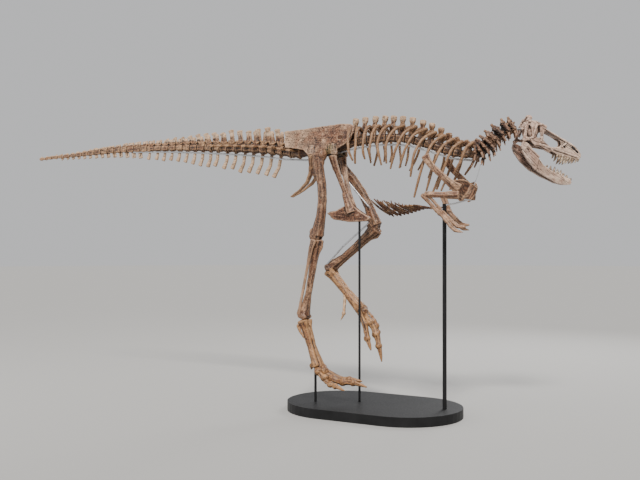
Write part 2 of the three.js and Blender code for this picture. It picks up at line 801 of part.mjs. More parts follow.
const ILIUM_OUTLINE = [
  [-172, 2712], [-212, 2732], [-309, 2742], [-418, 2736], [-584, 2727], [-753, 2714], [-880, 2708],
  [-926, 2672], [-938, 2618], [-915, 2540], [-800, 2528], [-700, 2506], [-646, 2452], [-584, 2446],
  [-560, 2458], [-510, 2464], [-456, 2454], [-436, 2432], [-376, 2432], [-330, 2446], [-334, 2500],
  [-262, 2534], [-205, 2578], [-176, 2640],
];
const ILIUM_TOP = 2742;
const ILIUM_THICKNESS = 26;

function iliumInner(z) {
  return 38 + (ILIUM_TOP - z) * 0.2;
}

function ilium(side) {
  const place = (x, z, depth) => [x, side * (iliumInner(z) + depth * ILIUM_THICKNESS), z];
  const pieces = [plate(ILIUM_OUTLINE, place)];
  pieces.push(loft({
    path: [[-395, side * 104, 2550], [-382, side * 112, 2440]],
    size: [[34, 18], [50, 30]],
    sides: 6,
    dome: 0,
  }));
  pieces.push(loft({
    path: [[-612, side * 104, 2550], [-616, side * 112, 2454]],
    size: [[30, 18], [36, 28]],
    sides: 6,
    dome: 0,
  }));
  return fuse(pieces);
}

function sacrum() {
  const [from, to] = [fractionAt(SACRUM_REAR_X), fractionAt(SACRUM_FRONT_X)];
  const pieces = [centra(from, to, SACRUM_COUNT, () => SACRUM_CENTRUM)];
  pieces.push(loft({
    path: [[-770, 0, 2600], [-262, 0, 2650]],
    size: [[12, 92], [12, 92]],
    wide: [0, 1, 0],
    sides: 4,
    square: true,
    dome: 0,
  }));
  for (let k = 0; k < SACRUM_COUNT; k += 2) {
    const frame = backboneFrame(lerp(from, to, (k + 0.5) / SACRUM_COUNT));
    pieces.push(wings(frame, [0, 96, 62], [20, 18]));
  }
  return fuse(pieces);
}

function pubes() {
  const pieces = [];
  for (const side of [RIGHT, LEFT]) {
    pieces.push(loft({
      path: [
        [-385, side * 108, 2440], [-352, side * 84, 2300], [-292, side * 44, 2120],
        [-222, side * 26, 1930],
      ],
      size: [[48, 26], [34, 18], [26, 19], [36, 24]],
      sides: 6,
      rings: 5,
    }));
  }
  const boot = [
    [-488, 1890], [-400, 1906], [-302, 1952], [-200, 1950], [-110, 1888], [-36, 1846], [-30, 1824],
    [-70, 1806], [-248, 1800], [-420, 1826],
  ];
  pieces.push(plate(boot, (x, z, depth) => [x, (depth - 0.5) * 54, z]));
  return fuse(pieces);
}

function ischium(side) {
  return fuse([
    loft({
      path: [
        [-614, side * 108, 2452], [-632, side * 78, 2300], [-720, side * 44, 2165],
        [-904, side * 16, 2058],
      ],
      size: [[38, 26], [30, 16], [20, 14], [10, 9]],
      wide: [1, 0, 0.4],
      sides: 6,
      rings: 6,
    }),
    loft({
      path: [[-606, side * 82, 2330], [-592, side * 66, 2200]],
      size: [[26, 8], [8, 5]],
      wide: [1, 0, 0.4],
      sides: 4,
      square: true,
      dome: 0,
    }),
  ]);
}

// Limbs: axes from a bone's top to its bottom, its front side and its outer side

function limbFrame(top, bottom, side) {
  const down = vec(bottom).sub(vec(top));
  const length = down.length();
  down.normalize();
  const out = new THREE.Vector3(0, side, 0).addScaledVector(down, -side * down.y).normalize();
  const front = out.clone().cross(down).multiplyScalar(-side).normalize();
  const at = (part, f, o) => vec(top)
    .addScaledVector(down, part * length)
    .addScaledVector(front, f)
    .addScaledVector(out, o)
    .toArray();
  return { length, down, front, out, at };
}

// Rows of [part of the length, offset to the front, offset outward, half width, half depth]
function limbLoft(frame, rows, options = {}) {
  return loft({
    path: rows.map(([part, f, o]) => frame.at(part, f, o)),
    size: rows.map(([, , , a, b]) => [a, b]),
    wide: frame.front.toArray(),
    sides: 7,
    ...options,
  });
}

function femur(side) {
  const frame = limbFrame(HIP[side], KNEE[side], side);
  return fuse([
    limbLoft(frame, [
      [0.0, -4, 6, 50, 34], [0.08, 0, 8, 62, 38], [0.2, 14, 4, 54, 40], [0.36, 42, 0, 48, 40],
      [0.55, 50, 0, 47, 40], [0.74, 34, 0, 50, 44], [0.88, 8, 0, 62, 56], [0.97, -4, 0, 66, 60],
    ], { dome: 0.6 }),
    loft({
      path: [frame.at(0.04, 0, 0), frame.at(0.03, 4, -38), frame.at(0.035, 6, -66)],
      size: [[42, 40], [36, 34], [40, 38]],
      wide: frame.front.toArray(),
      sides: 8,
      dome: 0.5,
    }),
    loft({
      path: [frame.at(0.05, 52, 10), frame.at(0.17, 56, 8)],
      size: [[16, 14], [12, 12]],
      wide: frame.front.toArray(),
      sides: 5,
    }),
    ball(frame.at(0.93, -46, -26), [34, 26, 40], 6, 4),
    ball(frame.at(0.93, -46, 26), [34, 26, 40], 6, 4),
  ]);
}

function tibia(side) {
  const frame = limbFrame(KNEE[side], ANKLE[side], side);
  return fuse([
    limbLoft(frame, [
      [0.025, -4, -6, 64, 48], [0.1, -4, -6, 60, 42], [0.22, -2, -2, 46, 32], [0.45, 4, 0, 36, 29],
      [0.7, 6, 0, 34, 29], [0.86, 0, 0, 50, 46], [0.95, 0, 0, 60, 62],
    ], { dome: 0.6 }),
    loft({
      path: [frame.at(0.02, 50, 6), frame.at(0.1, 62, 14), frame.at(0.24, 30, 6)],
      size: [[26, 14], [22, 12], [12, 8]],
      wide: frame.front.toArray(),
      sides: 5,
    }),
    // Rounded ankle roller
    loft({
      path: [frame.at(0.965, 4, -60), frame.at(0.975, 4, 0), frame.at(0.965, 4, 60)],
      size: [[50, 30], [44, 28], [50, 30]],
      wide: frame.front.toArray(),
      sides: 8,
    }),
  ]);
}

function fibula(side) {
  const shift = FIBULA_SHIFT[side];
  const frame = limbFrame(KNEE[side], ANKLE[side], side);
  return limbLoft(frame, [
    [0.03, shift * 0.5, 50, 34, 12], [0.14, shift * 0.9, 56, 22, 11], [0.35, shift, 56, 12, 8],
    [0.65, shift * 1.1, 54, 11, 8], [0.86, shift * 1.2, 56, 12, 8],
    [0.955, shift * 1.2, 60, 17, 10],
  ], { sides: 6 });
}

function metatarsus(side) {
  const frame = limbFrame(ANKLE[side], TOE_ROOT[side], side);
  const top = 0.05;
  const pieces = [];
  // Inner, middle and outer long bones of the foot
  pieces.push(limbLoft(frame, [
    [top, 8, -44, 52, 26], [0.2, 4, -30, 34, 20], [0.55, 0, -27, 26, 17], [0.84, 4, -42, 31, 21],
    [0.955, 6, -50, 35, 25],
  ], { sides: 6 }));
  pieces.push(limbLoft(frame, [
    [top, -8, 0, 36, 24], [0.3, 8, 0, 29, 13], [0.6, 10, 0, 28, 18], [0.9, 14, 0, 36, 26],
    [1.0, 12, 0, 38, 30],
  ], { sides: 6, dome: 1 }));
  pieces.push(limbLoft(frame, [
    [top, 4, 44, 54, 27], [0.2, 0, 30, 35, 20], [0.55, -2, 28, 27, 17], [0.84, 2, 43, 30, 21],
    [0.935, 4, 50, 34, 24],
  ], { sides: 6 }));
  // Slim splint of the fifth toe behind the outer bone
  pieces.push(limbLoft(frame, [
    [0.09, -54, 50, 16, 9], [0.22, -52, 46, 10, 7], [0.36, -32, 42, 6, 5],
  ], { sides: 4 }));
  return fuse(pieces);
}

// A toe or finger: spool-shaped joints in a row, then a curved claw
function digit({ path, joints, radius, claw, wide = [0, 1, 0], flat = 0.9, sides = 6 }) {
  const line = smoothLine(path);
  const weights = [];
  for (let k = 0; k < joints; k += 1) {
    weights.push(JOINT_SHRINK ** k);
  }
  const clawShare = claw / (claw + 1);
  const scale = (1 - clawShare) / weights.reduce((sum, value) => sum + value, 0);
  const rings = [];
  const addRing = (t, size) => {
    const along3 = line.getTangentAt(Math.min(t, 1));
    const across = vec(wide).addScaledVector(along3, -vec(wide).dot(along3)).normalize();
    rings.push({
      p: line.getPointAt(Math.min(t, 1)),
      along: along3,
      wide: across,
      deep: across.clone().cross(along3),
      a: size,
      b: size * flat,
    });
  };
  let t = 0;
  weights.forEach((weight, k) => {
    const size = radius * (1 - 0.11 * k);
    const span = weight * scale;
    addRing(t + span * 0.04, size);
    addRing(t + span * 0.52, size * JOINT_WAIST);
    addRing(t + span * 0.96, size * 0.92);
    t += span;
  });
  const root = radius * (1 - 0.11 * joints);
  addRing(t + clawShare * 0.06, root * 0.92);
  addRing(t + clawShare * 0.55, root * 0.55);
  addRing(1, 1.5);
  return skin(rings, sides, false, 0.1);
}

// Each foot: places of the three toes relative to the toe root, as root and tip
const FOOT = {
  [RIGHT]: {
    inner: [[-468, -158, 408], [-300, -140, 318], [-170, -122, 312], [-66, -104, 300]],
    middle: [[-462, -198, 380], [-280, -196, 300], [-110, -188, 296], [24, -180, 262]],
    outer: [[-474, -240, 398], [-350, -262, 292], [-240, -282, 262], [-146, -302, 232]],
    thumb: [[-524, -160, 470], [-580, -142, 446], [-602, -128, 376]],
  },
  [LEFT]: {
    inner: [[-240, 170, 954], [-162, 156, 790], [-132, 144, 670], [-86, 132, 560]],
    middle: [[-222, 212, 944], [-112, 212, 790], [-52, 212, 640], [-8, 210, 446]],
    outer: [[-248, 254, 962], [-128, 274, 838], [-92, 288, 720], [-66, 300, 590]],
    thumb: [[-392, 182, 1092], [-392, 158, 1010], [-390, 142, 910], [-424, 136, 836]],
  },
};
const TOE_NAMES = { inner: 'toe_2', middle: 'toe_3', outer: 'toe_4', thumb: 'toe_1' };

// Shoulders and arms

function scapula(side) {
  const at = (x, y, z) => [x, side * y, z];
  const blade = loft({
    path: [
      at(638, 266, 2372), at(676, 268, 2300), at(770, 264, 2208), at(860, 238, 2122),
      at(925, 207, 2068),
    ],
    size: [[42, 9], [32, 9], [29, 10], [36, 14], [54, 18]],
    wide: [0.7, 0, 0.72],
    sides: 6,
    rings: 7,
  });
  const outline = [
    [868, 2100], [890, 2146], [950, 2152], [996, 2124], [1000, 2088], [974, 2042], [932, 1978],
    [900, 1966], [890, 1998], [892, 2034],
  ];
  const place = (x, z, depth) => [
    x,
    side * (lerp(226, 66, Math.max((x - 868) / 138, 0) ** 1.8) - Math.max(2060 - z, 0) * 1.1 - depth * 17),
    z,
  ];
  return fuse([blade, plate(outline, place)]);
}

function furcula() {
  return loft({
    path: [[982, -98, 2130], [1004, -52, 2106], [1012, 0, 2086], [1004, 52, 2106], [982, 98, 2130]],
    size: [[5, 7], [7, 8], [8, 10], [7, 8], [5, 7]],
    wide: [0, 0, 1],
    sides: 6,
  });
}

function humerus(side) {
  const frame = limbFrame(SHOULDER[side], ELBOW[side], side);
  return limbLoft(frame, [
    [0.0, 0, 0, 33, 22], [0.14, 2, 0, 38, 19], [0.36, 4, 0, 28, 18], [0.6, 2, 0, 23, 18],
    [0.85, -2, 0, 26, 21], [0.97, -2, 0, 31, 23],
  ], { sides: 6 });
}

function forearmBone(side, shift, out, size, topPart) {
  const frame = limbFrame(ELBOW[side], WRIST[side], side);
  return limbLoft(frame, [
    [topPart, shift, out, size * 1.25, size], [0.3, shift * 1.2, out, size * 0.8, size * 0.72],
    [0.65, shift * 1.2, out, size * 0.72, size * 0.66], [0.96, shift, out, size * 1.1, size * 0.8],
  ], { sides: 6 });
}

function hand(side) {
  const at = (x, y, z) => vec(WRIST[side]).add(vec([x, side * y, z])).toArray();
  const wide = [0, 1, 0.2];
  const sides = 4;
  return fuse([
    ball(at(2, -4, -6), [28, 30, 26], 6, 4),
    digit({
      path: [at(7, 2, -12), at(71, -2, -88), at(129, -8, -158), at(205, -14, -188)],
      joints: 3, radius: 21, claw: FINGER_CLAWS[0], wide, sides,
    }),
    digit({
      path: [at(13, -24, -6), at(81, -38, -74), at(153, -44, -132), at(222, -48, -136)],
      joints: 2, radius: 19, claw: FINGER_CLAWS[1], wide, sides,
    }),
  ]);
}

// Belly ribs: rows that lean forward to the midline, each held by the next one's tip
function bellyRibs() {
  const pieces = [];
  const span = (BELLY_ROWS - 1) * BELLY_PITCH;
  const lowAt = (x) => along([1915, 1878, 1872, 1884, 1908, 1920], (x - BELLY_REAR_X) / span);
  for (let k = 0; k < BELLY_ROWS; k += 1) {
    const part = k / (BELLY_ROWS - 1);
    const rise = along([60, 86, 90, 84, 66, 46], part);
    const reach = along([110, 150, 160, 150, 120, 90], part);
    for (const side of [RIGHT, LEFT]) {
      const x = BELLY_REAR_X + (k + (side === LEFT ? 0.5 : 0)) * BELLY_PITCH;
      pieces.push(loft({
        path: [
          [x - 84, side * reach, lowAt(x - 84) + rise],
          [x - 30, side * reach * 0.52, lowAt(x - 30) + rise * 0.3],
          [x + 2 * BELLY_PITCH, side * -14, lowAt(x + 2 * BELLY_PITCH)],
        ],
        size: [[6, 6], [9, 8], [8, 7]],
        sides: 4,
        square: true,
        wide: [1, 0, 0],
        dome: 0,
      }));
    }
  }
  // The front end runs on to the pole that holds it
  const end = BELLY_REAR_X + span;
  pieces.push(loft({
    path: [[end - 24, 8, lowAt(end)], [FRONT_POLE.x, FRONT_POLE.y, lowAt(end) + 8]],
    size: [[6, 6], [6, 6]],
    wide: [0, 0, 1],
    sides: 5,
  }));
  return fuse(pieces);
}

// Assembly, from the stand outward, each bone cut clear of what it touches

addNode('stand_base', standBase(), BLACK_PAINT, 0.5, 0.2);
const frontPole = addNode('stand_front_pole', pole(FRONT_POLE), BLACK_PAINT, 0.4, 0.3);
const rearPole = addNode('stand_rear_pole', pole(REAR_POLE), BLACK_PAINT, 0.4, 0.3);
const footPole = addNode('stand_foot_pole', pole(FOOT_POLE), BLACK_PAINT, 0.4, 0.3);
const spineRod = addNode('stand_spine_rod', underRod(
  SPINE_ROD_SPLIT_X + 3 * GAP,
  SPINE_ROD_FRONT_X,
  10,
  (part) => along(SPINE_ROD_DEPTH, part),
), STEEL, 0.4, 0.9);
const tailRod = addNode('stand_tail_rod', underRod(
  TAIL_ROD_END_X,
  SPINE_ROD_SPLIT_X,
  11,
  (part) => along(TAIL_ROD_DEPTH, part),
  (part) => along(TAIL_ROD_BESIDE, part),
), STEEL, 0.4, 0.9);

let first = 0;
TAIL_COUNTS.forEach((count, k) => {
  addNode(`tail_${k + 1}`, seat(tailLength(first, count), [tailRod]), BONE);
  first += count;
});

const hips = addNode('sacrum', seat(sacrum(), [spineRod, tailRod]), DARK_BONE);
const femurs = {};
for (const side of [RIGHT, LEFT]) {
  femurs[side] = femur(side);
}
const sideName = { [RIGHT]: 'right', [LEFT]: 'left' };

const cages = {};
const ilia = {};
for (const side of [RIGHT, LEFT]) {
  const name = sideName[side];
  ilia[side] = addNode(`ilium_${name}`, seat(ilium(side), [hips, femurs[side]]), BONE);
  const cage = seat(ribCage(side), [spineRod, hips, ilia[side]]);
  cages[side] = addNode(`rib_cage_${name}`, cage, BONE);
}
const pubis = addNode('pubis', seat(pubes(), [ilia[RIGHT], ilia[LEFT], rearPole]), BONE);
for (const side of [RIGHT, LEFT]) {
  addNode(`ischium_${sideName[side]}`, seat(ischium(side), [ilia[side], femurs[side]]), BONE);
}

const neckRear = addNode('neck_rear', seat(
  neckLength(NECK_ROOT_X, NECK_SPLIT_X, NECK_COUNTS[0], 0, 0.5),
  [cages[RIGHT], cages[LEFT]],
), BONE);
const neckFront = addNode('neck_front', seat(
  neckLength(NECK_SPLIT_X, NECK_END_X, NECK_COUNTS[1], 0.5, 1),
  [neckRear],
), BONE);

const head = addNode('skull', skull(), PALE_BONE, 0.6);
const skullRod = seat(rod(SKULL_ROD, SKULL_ROD_RADIUS), [neckFront, head]);
addNode('stand_skull_rod', skullRod, STEEL, 0.4, 0.9);
for (const side of [RIGHT, LEFT]) {
  addNode(`lower_jaw_${sideName[side]}`, seat(lowerJaw(side), [head]), PALE_BONE, 0.6);
}

const chestBar = addNode('stand_chest_bar', seat(fuse([
  rod(CHEST_BAR, CHEST_BAR_RADIUS),
  rod(CHEST_CROSS_BAR),
]), [frontPole]), STEEL, 0.4, 0.9);
const furculaSolid = addNode('furcula', furcula(), CREAM_BONE);
const scapulae = {};
const hands = {};
for (const side of [RIGHT, LEFT]) {
  const name = sideName[side];
  const blade = seat(scapula(side), [cages[side], furculaSolid, chestBar]);
  scapulae[side] = addNode(`scapula_${name}`, blade, BONE);
  const arm = addNode(`humerus_${name}`, seat(humerus(side), [scapulae[side], cages[side]]), BONE);
  const ulna = addNode(`ulna_${name}`, seat(forearmBone(side, -12, 4, 17, -0.06), [arm]), BONE);
  const radius = addNode(`radius_${name}`, seat(forearmBone(side, 16, -6, 12, 0.04), [arm, ulna]), BONE);
  hands[side] = addNode(`hand_${name}`, seat(hand(side), [ulna, radius]), BONE);
}
const wire = seat(rod(SHOULDER_WIRE, SHOULDER_WIRE_RADIUS, 5), [neckRear, furculaSolid]);
addNode('stand_shoulder_wire', wire, STEEL, 0.4, 0.9);
addNode('gastralia', seat(bellyRibs(), [frontPole, chestBar, ...Object.values(hands)]), CREAM_BONE);

const shins = {};
for (const side of [RIGHT, LEFT]) {
  const name = sideName[side];
  const thigh = addNode(`femur_${name}`, femurs[side], BONE);
  const shin = addNode(`tibia_${name}`, seat(tibia(side), [thigh]), BONE);
  shins[side] = shin;
  const calf = addNode(`fibula_${name}`, seat(fibula(side), [thigh, shin]), BONE);
  const foot = addNode(`metatarsus_${name}`, seat(metatarsus(side), [shin, calf, footPole]), BONE);
  const placed = [foot, footPole];
  for (const key of Object.keys(TOE_NAMES)) {
    const toe = digit({
      path: FOOT[side][key],
      joints: TOE_JOINTS[key],
      radius: TOE_RADIUS[key],
      claw: TOE_CLAW,
      sides: 5,
    });
    placed.push(addNode(`${TOE_NAMES[key]}_${name}`, seat(toe, placed), BONE));
  }
}

const thighRod = seat(rod(THIGH_ROD), [pubis, femurs[LEFT]]);
addNode('stand_thigh_rod', thighRod, STEEL, 0.4, 0.9);
const shinRod = seat(rod(SHIN_ROD), [femurs[LEFT], shins[LEFT]]);
addNode('stand_shin_rod', shinRod, STEEL, 0.4, 0.9);

export default model;
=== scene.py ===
"""Dresses the solids of a mounted dinosaur skeleton as fossil bone on a black stand."""

import math

import bmesh
import bpy
import numpy as np
from bpy.props import FloatProperty, FloatVectorProperty, PointerProperty
from mathutils import Matrix, Vector


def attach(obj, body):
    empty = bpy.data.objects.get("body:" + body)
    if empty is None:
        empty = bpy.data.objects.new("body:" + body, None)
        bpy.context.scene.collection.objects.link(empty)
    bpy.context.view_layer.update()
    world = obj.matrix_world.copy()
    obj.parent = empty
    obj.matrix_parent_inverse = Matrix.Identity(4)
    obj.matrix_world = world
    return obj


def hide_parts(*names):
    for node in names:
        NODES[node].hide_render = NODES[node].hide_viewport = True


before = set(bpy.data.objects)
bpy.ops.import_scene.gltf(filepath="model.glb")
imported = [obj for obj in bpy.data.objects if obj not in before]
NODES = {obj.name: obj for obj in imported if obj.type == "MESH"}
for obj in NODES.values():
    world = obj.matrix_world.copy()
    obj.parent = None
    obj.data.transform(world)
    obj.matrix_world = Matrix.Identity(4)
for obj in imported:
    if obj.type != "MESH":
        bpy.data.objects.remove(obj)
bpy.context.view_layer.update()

bl_info = {
    "name": "Fossil skeleton mount",
    "version": (1, 0, 0),
    "blender": (4, 5, 0),
    "location": "View3D > Sidebar > Skeleton",
    "description": "Builds weathered fossil bone over a mounted skeleton and its stand",
    "category": "Object",
}

SIDES = ("right", "left")
OUTWARD = (-1, 1)

# The backbone's centre line from tail tip to skull, in metres
BACKBONE = np.array(
    [
        (-4.440, 0, 2.606), (-3.900, 0, 2.624), (-3.170, 0, 2.646), (-2.314, 0, 2.627),
        (-1.529, 0, 2.583), (-1.101, 0, 2.539), (-0.773, 0, 2.491), (-0.510, 0, 2.518),
        (-0.248, 0, 2.556), (0.020, 0, 2.580), (0.327, 0, 2.566), (0.595, 0, 2.486),
        (0.816, 0, 2.408), (1.004, 0, 2.384), (1.066, 0.005, 2.404), (1.126, 0.020, 2.455),
        (1.180, 0.052, 2.517), (1.230, 0.098, 2.570), (1.306, 0.194, 2.606),
    ]
)
# How each length of backbone is divided: node, its end nearer the tail, its other end, count
SPINE_LENGTHS = {
    "tail": (-4.440, -0.790, 37),
    "sacrum": (-0.790, -0.252, 5),
    "rib_cage": (-0.252, 1.002, 13),
    "neck_rear": (1.002, 1.152, 4),
    "neck_front": (1.152, 1.306, 4),
}


def color(name, description, default):
    """A setting that is a colour."""
    return FloatVectorProperty(
        name=name, description=description, subtype="COLOR", default=default, min=0.0, max=1.0,
    )


class BoneSettings(bpy.types.PropertyGroup):
    """Sizes and colours of the fossil bone"""

    cell: FloatProperty(
        name="Cell", description="Size of the cells that each bone is skinned with",
        default=0.0042, min=0.002, max=0.02, unit="LENGTH",
    )
    roughen: FloatProperty(
        name="Roughen", description="Height of the uneven bone surface",
        default=0.0022, min=0.0, max=0.01, unit="LENGTH",
    )
    joint_depth: FloatProperty(
        name="Joint depth", description="Depth of the groove between two vertebrae",
        default=0.011, min=0.0, max=0.03, unit="LENGTH",
    )
    tan: color("Tan", "Main colour of the bone", (0.130, 0.050, 0.018))
    cream: color("Cream", "Colour of the pale patches", (0.46, 0.31, 0.19))
    rust: color("Rust", "Colour of the reddish patches", (0.038, 0.013, 0.006))
    # Dark also gives the painted shade in hollow places
    dark: color("Dark", "Colour of grooves and cracks", (0.007, 0.004, 0.003))
    bleached: color("Bleached", "Colour of the palest bones", (0.60, 0.50, 0.40))
    stain: color("Stain", "Colour of the greenish patches", (0.12, 0.115, 0.045))
    skull_tone: color("Skull", "Main colour of the skull and jaws", (0.45, 0.30, 0.225))


class MountSettings(bpy.types.PropertyGroup):
    """Sizes and colours of the stand"""

    paint: color("Paint", "Colour of the base and poles", (0.005, 0.005, 0.0055))
    steel: color("Steel", "Colour of the bent rods", (0.50, 0.51, 0.53))


class StageSettings(bpy.types.PropertyGroup):
    """Floor, light and camera"""

    floor_tone: color("Floor", "Colour of the floor and backdrop", (0.372, 0.368, 0.360))
    focal: FloatProperty(
        name="Focal length", description="Focal length of the camera in millimetres",
        default=48.4, min=10.0, max=200.0,
    )
    key_power: FloatProperty(
        name="Key light", description="Strength of the main light", default=4.7, min=0.0,
    )


# Colour of painted shade on faces that look down or inwards
PAINTED_SHADE_COLOR = (0.030, 0.012, 0.006)
# Distance from the backbone up to which a bone counts as vertebra, and the width of that edge
CORE = 0.085
CORE_EDGE = 0.03
# Half width of the groove between two vertebrae
GROOVE = 0.010
# How many points are compared with the backbone at once
BLOCK = 20000
# How much thicker the bent rods are than their solids, all round
ROD_SWELL = 0.0025
# Value of the mark called hollow where the form is neither hollow nor proud
EVEN = 0.42
# How far a form lies below its smoothed self where the mark called hollow grows by one
HOLLOW_DEPTH = 0.0022


# Shader helpers

def add(tree, kind, inputs=None, **settings):
    """A shader node with its inputs linked or set."""
    node = tree.nodes.new(kind)
    for key, value in settings.items():
        setattr(node, key, value)
    for key, value in (inputs or {}).items():
        if isinstance(value, bpy.types.NodeSocket):
            tree.links.new(value, node.inputs[key])
        else:
            node.inputs[key].default_value = value
    return node


def ramp(tree, value, stops):
    """A value or colour looked up along stops."""
    node = add(tree, "ShaderNodeValToRGB", {"Fac": value})
    elements = node.color_ramp.elements
    while len(elements) < len(stops):
        elements.new(0.5)
    for element, (place, tone) in zip(elements, stops):
        element.position = place
        element.color = (tone,) * 3 + (1.0,) if isinstance(tone, float) else tuple(tone) + (1.0,)
    return node.outputs["Color"]


def blend(tree, amount, low, high, how="MIX"):
    """Two colours mixed by an amount."""
    node = add(tree, "ShaderNodeMix", data_type="RGBA", blend_type=how)
    for index, value in ((0, amount), (6, low), (7, high)):
        if isinstance(value, bpy.types.NodeSocket):
            tree.links.new(value, node.inputs[index])
        elif index == 0:
            node.inputs[index].default_value = value
        else:
            node.inputs[index].default_value = tuple(value) + (1.0,)
    return node.outputs[2]


def maths(tree, how, first, second):
    """One number made from two."""
    return add(tree, "ShaderNodeMath", {0: first, 1: second}, operation=how).outputs[0]


def scaled(tree, vector, size):
    """A vector times a number."""
    node = add(tree, "ShaderNodeVectorMath", {0: vector, "Scale": size}, operation="SCALE")
    return node.outputs[0]


def noise(tree, vector, scale, detail=4.0, rough=0.55, distortion=0.0):
    """Cloudy noise at a place."""
    return add(
        tree, "ShaderNodeTexNoise",
        {"Vector": vector, "Scale": scale, "Detail": detail, "Roughness": rough,
         "Distortion": distortion},
    ).outputs["Fac"]


def cell_distance(tree, vector, scale, feature):
    """Distance from the middle or the edge of a pattern of cells."""
    inputs = {"Vector": vector, "Scale": scale, "Randomness": 1.0}
    return add(tree, "ShaderNodeTexVoronoi", inputs, feature=feature).outputs["Distance"]


def new_material(name):
    """A material with its nodes and its shader."""
    material = bpy.data.materials.new(name)
    material.use_nodes = True
    return material, material.node_tree, material.node_tree.nodes["Principled BSDF"]


def mottle_group():
    """Masks of fossil bone: broad patches, streaks along the bone, cracks, pits, and a height."""
    group = bpy.data.node_groups.new("fossil_mottle", "ShaderNodeTree")
    new_socket = group.interface.new_socket
    for label in ("Vector", "Grain"):
        new_socket(name=label, in_out="INPUT", socket_type="NodeSocketVector")
    for label, value in (("Seed", 0.0), ("Size", 1.0)):
        new_socket(name=label, in_out="INPUT", socket_type="NodeSocketFloat").default_value = value
    for label in ("Patches", "Blotches", "Streaks", "Cracks", "Pits", "Height"):
        new_socket(name=label, in_out="OUTPUT", socket_type="NodeSocketFloat")
    given = group.nodes.new("NodeGroupInput").outputs
    out = group.nodes.new("NodeGroupOutput")
    shift = add(group, "ShaderNodeCombineXYZ", {"X": given["Seed"], "Y": given["Seed"]}).outputs[0]
    sized = scaled(group, given["Vector"], given["Size"])
    place = add(group, "ShaderNodeVectorMath", {0: sized, 1: shift}).outputs[0]
    lengthwise = scaled(group, given["Grain"], given["Size"])
    grain = add(group, "ShaderNodeVectorMath", {0: lengthwise, 1: shift}).outputs[0]
    along = add(group, "ShaderNodeMapping", {"Vector": grain, "Scale": (1.0, 1.0, 0.13)}).outputs[0]
    patches = noise(group, place, 9.0, 5.0, 0.62, 0.6)
    blotches = noise(group, place, 31.0, 5.0, 0.66, 0.4)
    streaks = noise(group, along, 62.0, 5.0, 0.62, 0.8)
    fine = noise(group, along, 170.0, 4.0, 0.6, 0.3)
    cells = cell_distance(group, along, 46.0, "DISTANCE_TO_EDGE")
    wander = noise(group, along, 18.0, 3.0, 0.6)
    crack = maths(group, "LESS_THAN", cells, 0.028)
    cracks = maths(group, "MULTIPLY", crack, maths(group, "GREATER_THAN", wander, 0.52))
    holes = cell_distance(group, place, 95.0, "F1")
    pitted = noise(group, place, 14.0, 3.0, 0.6)
    pits = maths(group, "MULTIPLY", maths(group, "LESS_THAN", holes, 0.17),
                 maths(group, "GREATER_THAN", pitted, 0.55))
    height = maths(group, "ADD", maths(group, "MULTIPLY", streaks, 0.5),
                   maths(group, "MULTIPLY", fine, 0.35))
    height = maths(group, "SUBTRACT", height, maths(group, "MULTIPLY", cracks, 0.35))
    height = maths(group, "SUBTRACT", height, maths(group, "MULTIPLY", pits, 0.3))
    for label, value in (("Patches", patches), ("Blotches", blotches), ("Streaks", streaks),
                         ("Cracks", cracks), ("Pits", pits), ("Height", height)):
        group.links.new(value, out.inputs[label])
    return group


